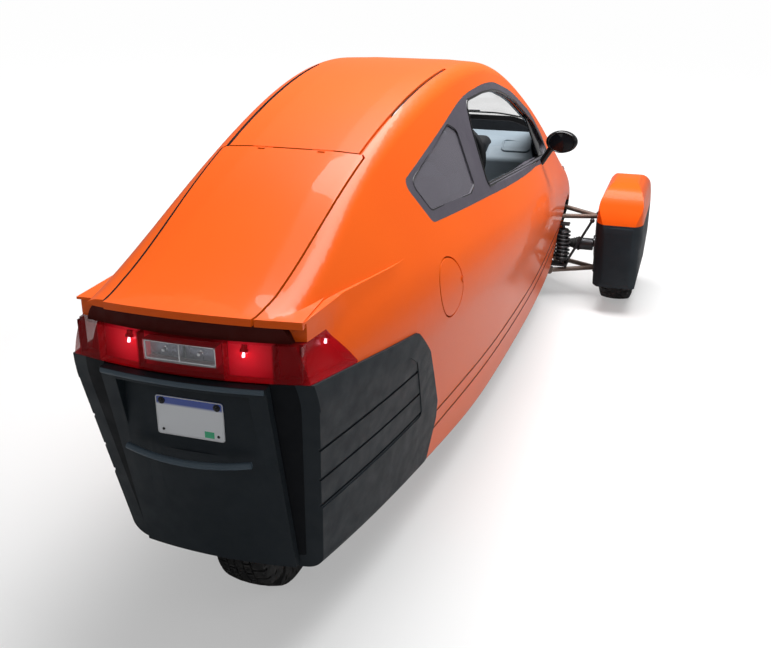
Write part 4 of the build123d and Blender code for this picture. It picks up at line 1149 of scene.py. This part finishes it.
@dataclass
class Windows:
    """Seals round the side windows, the right one's sill, the mirror panels and the wiper."""

    palette: "Palette"
    front: tuple[tuple[float, float, float], ...] = (
        (-0.62, 1.012, 0.026), (0.15, 0.938, 0.9), (0.70, 0.856, 0.026), (0.755, 0.90, 0.03),
        (0.60, 1.025, 0.4), (0.23, 1.172, 1.5), (-0.103, 1.256, 1.5), (-0.305, 1.274, 0.9),
        (-0.53, 1.276, 0.06), (-0.57, 1.20, 0.2))
    quarter: tuple[tuple[float, float], ...] = (
        (-1.16, 1.138), (-1.112, 1.05), (-0.80, 1.03), (-0.745, 1.045), (-0.715, 1.21), (-0.77, 1.236))
    sill: tuple[tuple[float, float], ...] = (
        (-0.60, 1.0), (-0.3, 0.972), (0.0, 0.944), (0.3, 0.906), (0.55, 0.868), (0.68, 0.848))
    sail: tuple[tuple[float, float], ...] = (
        (0.46, 0.906), (0.70, 0.866), (0.778, 0.908), (0.62, 1.036), (0.49, 1.088))
    corner: float = 0.026
    seal: float = 0.0048
    quarter_seal: float = 0.0026

    def round_line(self, skin: Skin, corners: Sequence[Sequence[float]], sign: float, grow: float,
                   proud: float) -> list[Point]:
        """An outline in side view laid on the body's skin a little outside its own line."""
        count = len(corners)
        middle = Vector((sum(c[0] for c in corners) / count, sum(c[1] for c in corners) / count))
        line = []
        for x, z in rounded(corners, self.corner):
            out = (Vector((x, z)) - middle).normalized() * grow
            line.append(skin.side(x + out.x, z + out.y, sign, proud))
        return line

    def build(self) -> None:
        """Makes the trim round the windows."""
        right = Skin("window_frame_right", "body_shell")
        left = Skin("door_window_frame", "quarter_frame_left", "door_left", "body_shell")
        for name, node, skin, sign, corners, grow in (
                ("window_seal_right", "window_frame_right", right, -1.0, self.front, 0.004),
                ("window_seal_left", "door_window_frame", left, 1.0, self.front, 0.004),
                ("quarter_seal_right", "window_frame_right", right, -1.0, self.quarter, 0.003),
                ("quarter_seal_left", "quarter_frame_left", left, 1.0, self.quarter, 0.003)):
            size = self.seal if corners is self.front else self.quarter_seal
            line = self.round_line(skin, corners, sign, grow, -0.0015)
            seal = Bench.line(name, line, size, closed=True)
            Bench.fit(seal, node, self.palette["gloss_black"], "cladding")
        inside = [(x, y + 0.02, z - 0.002)
                  for x, y, z in self.round_line(right, self.front, -1.0, 0.008, 0.0)]
        channel = Bench.line("window_channel_right", inside, 0.009, closed=True)
        Bench.fit(channel, "window_frame_right", self.palette["gloss_black"], "cladding")
        line = [tuple(Vector(right.side(x, z, -1.0)) + Vector((0.0, 0.034, -0.004))) for x, z in self.sill]
        ledge = Bench.line("window_ledge_right", line, 0.012, smooth=True, sides=4)
        Bench.fit(ledge, "window_frame_right", self.palette["trim"], "trim")
        self.sails(right, left)
        self.wiper()

    def sails(self, right: Skin, left: Skin) -> None:
        """The black panel in the front corner of each door window, which carries the mirror."""
        for side, skin, sign, node in (("right", right, -1.0, "window_frame_right"),
                                       ("left", left, 1.0, "door_window_frame")):
            a, b, c = (Vector(skin.side(x, z, sign)) for x, z in ((0.40, 0.88), (0.78, 0.90), (0.52, 1.075)))
            across = (b - a).normalized()
            out = across.cross((c - a).normalized()).normalized()
            out = out if out.y * sign > 0 else -out
            up = out.cross(across)
            spots = []
            for x, z in self.sail:
                depth = ((a - Vector((x, 0.0, z))).dot(out)) / out.y
                spot = Vector((x, depth, z)) - a
                spots.append((spot.dot(across), spot.dot(up)))
            sail = Bench.sheet(f"mirror_sail_{side}", rounded(spots, 0.012), 0.006, 0.0015)
            turn = Matrix((across, up, across.cross(up))).transposed().to_4x4()
            Bench.move(sail, Matrix.Translation(a - out * 0.013) @ turn)
            Bench.fit(sail, node, self.palette["gloss_black"], "cladding")

    def wiper(self) -> None:
        """The wiper at the foot of the windscreen."""
        screen = Skin("windscreen", "body_shell", "hood")
        blade_at = ((1.05, -0.24), (1.062, -0.12), (1.066, 0.0), (1.06, 0.12))
        arm_at = ((1.078, 0.2), (1.074, 0.14), (1.068, 0.06), (1.066, 0.0))
        blade = [screen.top(x, y, 0.010) for x, y in blade_at]
        arm = [screen.top(x, y, 0.016) for x, y in arm_at]
        boss = [(0.0, 0.022), (0.010, 0.021), (0.013, 0.015), (0.014, -0.004), (0.0, -0.004)]
        foot = Matrix.Translation(screen.top(*arm_at[0]))
        pieces = [Bench.line("blade", blade, 0.004, smooth=True), Bench.line("arm", arm, 0.005, smooth=True),
                  Bench.move(Bench.spun("boss", boss, 20), foot)]
        wiper = Bench.join(pieces, "windscreen_wiper")
        Bench.fit(wiper, "windscreen", self.palette["gloss_black"], "gloss_black")


@dataclass
class Cushions:
    """The four seat cushions, blown up from their CAD solids."""

    palette: "Palette"
    nodes: tuple[str, ...] = ("front_cushion", "front_backrest", "rear_cushion", "rear_backrest")
    voxel: float = 0.006
    quick_voxel: float = 0.012
    pressure: float = 4.0
    frames: int = 20
    cap: float = 0.012
    shrink: float = 0.965

    def inflate(self, piece: bpy.types.Object) -> None:
        """Blows a closed mesh up with cloth and holds each point near where it was."""
        before = [vertex.co.copy() for vertex in piece.data.vertices]
        cloth = piece.modifiers.new("cloth", "CLOTH")
        cloth.settings.use_pressure = True
        cloth.settings.uniform_pressure_force = self.pressure
        cloth.settings.effector_weights.gravity = 0.0
        scene = bpy.context.scene
        for number in range(1, self.frames + 1):
            scene.frame_set(number)
        graph = bpy.context.evaluated_depsgraph_get()
        shape = piece.evaluated_get(graph).to_mesh()
        after = [vertex.co.copy() for vertex in shape.vertices]
        piece.evaluated_get(graph).to_mesh_clear()
        piece.modifiers.remove(cloth)
        scene.frame_set(1)
        for vertex, old, new in zip(piece.data.vertices, before, after):
            step = new - old
            vertex.co = old + (step if step.length <= self.cap else step.normalized() * self.cap)

    def cushion(self, node: str) -> None:
        """One cushion."""
        piece = Bench.copy_node(node, f"{node}_pad", 60.0)
        middle = sum((vertex.co for vertex in piece.data.vertices), Vector()) / len(piece.data.vertices)
        smaller = Matrix.Translation(middle) @ Matrix.Scale(self.shrink, 4) @ Matrix.Translation(-middle)
        Bench.move(piece, smaller)
        Bench.hold(piece)
        piece.data.remesh_voxel_size = self.voxel
        bpy.ops.object.voxel_remesh()
        self.inflate(piece)
        smooth = piece.modifiers.new("smooth", "SMOOTH")
        smooth.factor = 0.5
        smooth.iterations = 6
        Bench.apply(piece)
        for polygon in piece.data.polygons:
            polygon.use_smooth = True
        Bench.coat(piece, self.palette["fabric"], "fabric")

    def build(self) -> None:
        """Makes the cushions."""
        for node in self.nodes:
            self.cushion(node)


@dataclass
class Cabin:
    """The light dashboard with its dark hood, dials and trays, the door's pull and the wheel's pad."""

    palette: "Palette"
    hood: tuple[Point, Point] = ((0.60, -0.135, 0.842), (0.765, 0.135, 0.925))
    dial_y: tuple[float, ...] = (-0.075, 0.075)

    def build(self) -> None:
        """Makes the cabin's pieces."""
        dash = Bench.copy_node("dashboard", "dashboard_skin")
        Bench.coat(dash, self.palette["trim"], "trim")
        low, high = self.hood
        hood = Bench.block("instrument_hood", low, high, 0.035, 6)
        Bench.fit(hood, "dashboard", self.palette["dash"], "dash")
        ring = [(0.044, 0.0), (0.05, 0.0), (0.05, 0.006), (0.046, 0.008), (0.043, 0.003), (0.0, 0.003),
                (0.0, 0.0)]
        for number, y in enumerate(self.dial_y):
            dial = Bench.spun(f"dial_{number}", ring, 40)
            Bench.move(dial, along(Vector((-1.0, 0.0, 0.25)), (low[0] + 0.003, y, 0.888)))
            Bench.fit(dial, "dashboard", self.palette["dial"], "dash")
        top = Skin("dashboard")
        tray_corners = ((0.645, 0.205), (0.79, 0.185), (0.79, 0.345), (0.645, 0.325))
        for side, sign in (("right", -1.0), ("left", 1.0)):
            corners = [(x, y * sign) for x, y in tray_corners]
            line = [top.top(x, y, 0.002) for x, y in rounded(corners, 0.022)]
            tray = Bench.line(f"dash_tray_{side}", line, 0.0055, closed=True)
            Bench.fit(tray, "dashboard", self.palette["trim"], "trim")
        door = Skin("door_trim")
        inner = [(0.10, 0.80), (0.34, 0.775), (0.40, 0.73), (0.34, 0.70), (0.10, 0.72)]
        line = []
        for x, z in rounded(inner, 0.03):
            place, normal, _, _ = door.tree.ray_cast(Vector((x, 0.0, z)), Vector((0.0, 1.0, 0.0)))
            if place is not None:
                line.append(tuple(place + normal * 0.006))
        pull = Bench.line("door_pull", line, 0.009, closed=True, sides=4)
        Bench.fit(pull, "door_trim", self.palette["dash"], "trim")
        self.wheel_trim()

    def wheel_trim(self) -> None:
        """The pad on the steering wheel."""
        tilt = math.radians(21.0)
        direction = Vector((math.cos(tilt), 0.0, -math.sin(tilt)))
        dome = [(0.0, 0.012), (0.03, 0.011), (0.05, 0.006), (0.058, -0.006), (0.052, -0.02), (0.0, -0.02)]
        pad = Bench.spun("wheel_pad", dome, 40)
        Bench.move(pad, along(-direction, Vector((0.43, 0.0, 0.86)) - direction * 0.012))
        Bench.fit(pad, "steering_wheel", self.palette["dash"], "dash")


@dataclass
class FrontCorner:
    """One front corner's small parts: the damper's spring, the pull rod, the boots of shaft and joints."""

    palette: "Palette"
    side: Side
    axle: float = FRONT_AXLE_X
    kingpin_y: float = 0.612
    damper_y: float = 0.438
    damper_back: float = 0.088
    spring_z: tuple[float, float] = (0.214, 0.364)
    rod_top_z: float = 0.412
    rod_foot: tuple[float, float] = (0.462, 0.186)
    boot_y: tuple[float, float] = (0.328, 0.452)
    joint_z: tuple[float, float] = (0.4485, 0.1315)

    def spring(self) -> bpy.types.Object:
        """The coil spring round the damper."""
        turns, steps, radius = 7.5, 16, 0.0375
        low, high = self.spring_z
        count = int(turns * steps)
        points = [(self.axle - self.damper_back + radius * math.cos(math.tau * i / steps),
                   self.damper_y + radius * math.sin(math.tau * i / steps), low + (high - low) * i / count)
                  for i in range(count + 1)]
        return Bench.line("spring", points, 0.0042)

    def pull_rod(self) -> bpy.types.Object:
        """The diagonal rod from the upper joint down to the rocker, with an eye at each end."""
        top = Vector((self.axle - 0.03, self.kingpin_y - 0.034, self.rod_top_z))
        foot = Vector((self.axle - 0.06, *self.rod_foot))
        eye = [(0.0, 0.011), (0.009, 0.009), (0.0125, 0.004), (0.0125, -0.004), (0.009, -0.009),
               (0.0, -0.011)]
        pieces = [Bench.line("pull_rod", [tuple(top), tuple(foot)], 0.0068)]
        for number, place in enumerate((top, foot)):
            pieces.append(Bench.move(Bench.spun(f"rod_eye_{number}", eye, 24, angle=60.0),
                                     along(Vector((1.0, 0.0, 0.0)), place)))
        return Bench.join(pieces, "pull_rod")

    def boots(self) -> bpy.types.Object:
        """The folded rubber boots of the drive shaft's joints."""
        folds, pitch = 5, 0.0125
        profile: list[tuple[float, float]] = [(0.0125, 0.0)]
        for i in range(folds):
            share = i / (folds - 1)
            profile.append((0.016 + 0.016 * share, 0.004 + pitch * i))
            profile.append((0.021 + 0.018 * share, 0.010 + pitch * i))
        profile += [(0.0335, 0.068), (0.0, 0.068)]
        boot = Bench.spun("boot", profile, 32, angle=60.0)
        inner, outer = self.boot_y
        other = Bench.twin(boot, along(Vector((0.0, -1.0, 0.0)), (self.axle, inner, AXLE_Z)), "boot_inner")
        Bench.move(boot, along(Vector((0.0, 1.0, 0.0)), (self.axle, outer, AXLE_Z)))
        return Bench.join([boot, other], "boots")

    def joints(self) -> bpy.types.Object:
        """The round boots and nuts of the ball joints."""
        boot = [(0.0, 0.010), (0.009, 0.010), (0.014, 0.006), (0.019, 0.0), (0.014, -0.006), (0.0, -0.006)]
        pieces = []
        for number, z in enumerate(self.joint_z):
            pieces.append(Bench.move(Bench.spun(f"joint_{number}", boot, 24, angle=60.0),
                                     Matrix.Translation((self.axle, self.kingpin_y, z))))
        return Bench.join(pieces, "joints")

    def build(self) -> None:
        """Makes the corner's pieces on this side."""
        word = self.side.word
        for make, node, finish, slot in ((self.spring, "suspension_struts", "spring", "steel"),
                                         (self.pull_rod, "suspension_struts", "steel", "steel"),
                                         (self.boots, f"half_shaft_{word}", "rubber_boot", "steel"),
                                         (self.joints, f"knuckle_{word}", "rubber_boot", "steel")):
            piece = make()
            piece.name = piece.data.name = f"{piece.name}_{word}"
            if self.side is Side.RIGHT:
                Bench.move(piece, MIRROR_Y)
            Bench.fit(piece, node, self.palette[finish], slot)


@dataclass
class BodyTrim:
    """Small trim on the body: roof slot seals, the door handle and lock, mirror glass and headlamp bowls."""

    palette: "Palette"
    slot: tuple[tuple[float, float], ...] = (
        (-1.295, 0.1985), (-1.10, 0.2055), (-0.90, 0.213), (-0.70, 0.2205), (-0.535, 0.2265))
    mirror: Point = (0.3495, 0.515, 0.985)

    def slots(self) -> None:
        """The rubber strip in each roof slot."""
        roof = Skin("body_shell")
        line = [Vector(roof.top(x, y)) for x, y in self.slot]
        strip = Bench.line("roof_slot_seal_left", [tuple(p) for p in line], 0.0085, smooth=True)
        Bench.fit(strip, "body_shell", self.palette["gloss_black"], "cladding")
        other = Bench.twin(strip, MIRROR_Y, "roof_slot_seal_right")
        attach(other, strip["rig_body"])

    def mirror_glass(self) -> None:
        """The silvered glass and its bezel in each mirror."""
        ring = [(0.052, 0.0), (0.058, 0.0), (0.0585, 0.003), (0.0555, 0.004), (0.052, 0.0015)]
        disc = [(0.0, 0.0025), (0.05, 0.0018), (0.0535, 0.0), (0.0, 0.0)]
        back = Matrix.Rotation(-math.pi / 2, 4, "Y")
        oval = Matrix.Diagonal((0.75, 1.0, 1.0, 1.0))
        x, y, z = self.mirror
        for side in Side:
            bezel = Bench.spun(f"mirror_bezel_{side.word}", ring, 48, closed=True)
            glass = Bench.spun(f"mirror_glass_{side.word}", disc, 48)
            for piece, finish in ((bezel, "gloss_black"), (glass, "mirror_silver")):
                Bench.move(piece, Matrix.Translation((x, y * side.value, z)) @ back @ oval)
                Bench.fit(piece, f"mirror_{side.word}", self.palette[finish], "gloss_black")

    def handles(self) -> None:
        """The door handle with its lock."""
        skin = Skin("door_left")
        line = [skin.side(x, z, 1.0, proud) for x, z, proud in (
            (-0.60, 0.742, 0.0), (-0.595, 0.742, 0.016), (-0.56, 0.741, 0.020), (-0.50, 0.739, 0.020),
            (-0.465, 0.738, 0.016), (-0.46, 0.738, 0.0))]
        handle = Bench.line("door_handle", line, 0.0075, smooth=True, sides=4)
        Bench.fit(handle, "door_left", self.palette["gloss_black"], "gloss_black")
        barrel = [(0.0, 0.003), (0.008, 0.003), (0.0105, 0.001), (0.011, -0.002), (0.0, -0.002)]
        lock = Bench.spun("door_lock", barrel, 24)
        Bench.move(lock, along(Vector((0.0, 1.0, 0.0)), skin.side(-0.64, 0.744, 1.0)))
        Bench.fit(lock, "door_left", self.palette["alloy"], "gloss_black")

    def headlamps(self) -> None:
        """Two bowls behind each headlamp lens."""
        bowl = [(0.0, 0.026), (0.014, 0.024), (0.026, 0.014), (0.033, 0.0), (0.0355, 0.0), (0.029, 0.016),
                (0.015, 0.028), (0.0, 0.030)]
        skin = Skin("headlamps")
        for number, (x, z) in enumerate(((1.70, 0.588), (1.79, 0.545))):
            for side in Side:
                place = Vector(skin.side(x, z, side.value, -0.008))
                piece = Bench.spun(f"headlamp_bowl_{number}_{side.word}", bowl, 40)
                turn = along(Vector((-0.75, -0.55 * side.value, -0.3)), place)
                Bench.move(piece, turn @ Matrix.Scale(0.62, 4))
                Bench.fit(piece, "headlamps", self.palette["lamp_chrome"], "lens")

    def build(self) -> None:
        """Makes the trim."""
        self.slots()
        self.mirror_glass()
        self.handles()
        self.headlamps()


@dataclass
class Panels:
    """The CAD nodes whose shape is right: smooth or crisp copies, and the finish alone on the plain ones."""

    palette: Palette
    curved: tuple[str, ...] = (
        "body_shell", "hatch", "hood", "door_left", "fuel_flap", "underbody", "side_claddings", "tail_panel",
        "window_frame_right", "door_window_frame", "quarter_frame_left", "mirror_left",
        "mirror_right", "windscreen", "door_glass", "quarter_glasses", "headlamps",
        "steering_wheel", "wishbones", "knuckle_left", "knuckle_right", "half_shaft_left",
        "half_shaft_right", "swing_arm", "front_rim_left", "front_rim_right", "rear_rim", "door_trim")
    edged: tuple[str, ...] = (
        "pod_top_left", "pod_top_right", "pod_skirt_left", "pod_skirt_right", "tail_corners",
        "suspension_struts", "front_subframe", "engine_block", "bulkheads", "front_seat_frame")
    lined: tuple[str, ...] = ("body_shell", "door_left", "hatch", "hood", "underbody")
    # painted shade: the tail panel gets a dark red finish for the shadow in the gap under the ducktail, and
    # the tail corners a darker plastic for their weaker light
    own: dict[str, str] = field(default_factory=lambda: {
        "tail_panel": "tail_shade", "tail_corners": "corner", "window_frame_right": "frame",
        "door_window_frame": "frame", "quarter_frame_left": "frame"})
    done: tuple[str, ...] = ("tail_lamp", "reverse_lamp", "rear_bumper", "number_plate", "front_tyre_left",
                             "front_tyre_right", "rear_tyre", "dashboard", "front_cushion", "front_backrest",
                             "rear_cushion", "rear_backrest")

    def build(self) -> None:
        """Dresses every node."""
        slots = {row["node"]: row["material_slot"] for row in frame["record"]["subparts"]}
        for node, slot in slots.items():
            if node in self.done:
                continue
            if node in self.edged:
                piece = Bench.copy_node(node, f"{node}_skin")
                Bench.crisp(piece, 0.003)
                Bench.coat(piece, self.palette[self.own.get(node, slot)], slot)
            elif node in self.curved:
                piece = Bench.copy_node(node, f"{node}_skin")
                Bench.coat(piece, self.palette[self.own.get(node, slot)], slot)
                if node in self.lined:
                    Bench.line_inside(piece, self.palette["lining"])
            else:
                Bench.coat(frame["nodes"][node], self.palette[slot])
            LOG.info("dressed %s as %s", node, slot)


@dataclass
class Studio:
    """Floor, world, lamps and the camera at the photograph's angle."""

    eye: Point = (-3.7788, -1.0818, 1.7808)
    yaw: float = 18.076
    pitch: float = 21.496
    roll: float = -0.152
    focal_px: float = 975.0
    frame_px: float = 771.0
    sensor: float = 36.0
    floor_size: float = 400.0
    ambient: float = 0.26

    def camera(self) -> None:
        """Places the camera."""
        yaw, pitch, roll = (math.radians(a) for a in (self.yaw, self.pitch, self.roll))
        ahead = Vector((math.cos(pitch) * math.cos(yaw), math.cos(pitch) * math.sin(yaw), -math.sin(pitch)))
        right = Vector((math.sin(yaw), -math.cos(yaw), 0.0))
        above = right.cross(ahead)
        right, above = (math.cos(roll) * right + math.sin(roll) * above,
                        math.cos(roll) * above - math.sin(roll) * right)
        data = bpy.data.cameras.new("camera")
        data.sensor_width = self.sensor
        data.lens = self.focal_px / self.frame_px * self.sensor
        data.clip_end = 1000.0
        camera = bpy.data.objects.new("camera", data)
        turn = Matrix((right, above, -ahead)).transposed().to_4x4()
        camera.matrix_world = Matrix.Translation(self.eye) @ turn
        bpy.context.scene.collection.objects.link(camera)
        bpy.context.scene.camera = camera

    @staticmethod
    def lamp(name: str, place: Point, target: Point, size: tuple[float, float], power: float) -> None:
        """One soft box.

        Args:
            name: The lamp's name.
            place: Its centre.
            target: What it points at.
            size: Its two sides.
            power: Watts.
        """
        data = bpy.data.lights.new(name, "AREA")
        data.shape = "RECTANGLE"
        data.size, data.size_y = size
        data.energy = power
        lamp = bpy.data.objects.new(name, data)
        lamp.location = place
        lamp.rotation_euler = (Vector(target) - Vector(place)).to_track_quat("-Z", "Y").to_euler()
        bpy.context.scene.collection.objects.link(lamp)

    def world(self) -> None:
        """White to the eye and through glass, and dimmer as light on the object and in gloss."""
        world = bpy.data.worlds.new("studio")
        world.use_nodes = True
        bpy.context.scene.world = world
        tree = world.node_tree
        background = tree.nodes["Background"]
        background.inputs["Color"].default_value = (1.0, 1.0, 1.0, 1.0)
        rays = tree.nodes.new("ShaderNodeLightPath")
        seen = tree.nodes.new("ShaderNodeMath")
        seen.operation = "MAXIMUM"
        tree.links.new(rays.outputs["Is Camera Ray"], seen.inputs[0])
        tree.links.new(rays.outputs["Is Transmission Ray"], seen.inputs[1])
        strength = tree.nodes.new("ShaderNodeMapRange")
        strength.inputs["To Min"].default_value = self.ambient
        tree.links.new(seen.outputs[0], strength.inputs["Value"])
        tree.links.new(strength.outputs["Result"], background.inputs["Strength"])

    def build(self) -> None:
        """Makes the studio."""
        self.camera()
        self.world()
        Bench.clear()
        bpy.ops.mesh.primitive_plane_add(size=self.floor_size, location=(0.0, 0.0, -0.0005))
        floor = bpy.context.object
        floor.name = "floor"
        floor.data.materials.append(Floor().build())
        self.lamp("top_box", (0.7, -0.7, 4.4), (-0.3, 0.0, 0.5), (4.0, 2.2), 370.0)
        self.lamp("right_box", (-0.5, -5.0, 3.0), (-0.2, 0.0, 0.6), (4.5, 1.4), 18.0)
        self.lamp("rear_box", (-5.2, 1.2, 3.0), (-1.6, 0.0, 0.7), (2.2, 1.4), 14.0)
        bpy.context.scene.view_settings.view_transform = "Standard"
        LOG.info("studio ready")


def main() -> None:
    """Builds the car's looks in order."""
    logging.basicConfig(level=logging.INFO, format="%(message)s")
    palette = Palette()
    Panels(palette).build()
    TailLamps(palette).build()
    Bumper(palette).build()
    RearPlate(palette).build()
    Windows(palette).build()
    BodyTrim(palette).build()
    for tyre, rim, place, side in (
            ("front_tyre_left", "front_rim_left", (FRONT_AXLE_X, HALF_TRACK, AXLE_Z), 1.0),
            ("front_tyre_right", "front_rim_right", (FRONT_AXLE_X, -HALF_TRACK, AXLE_Z), -1.0),
            ("rear_tyre", "rear_rim", (REAR_AXLE_X, 0.0, AXLE_Z), 1.0)):
        Wheel(palette, tyre, rim, place, side).build()
    for side in Side:
        FrontCorner(palette, side).build()
    Cabin(palette).build()
    Cushions(palette).build()
    Studio().build()
    Bench.clear()


if __name__ == "__main__":
    main()
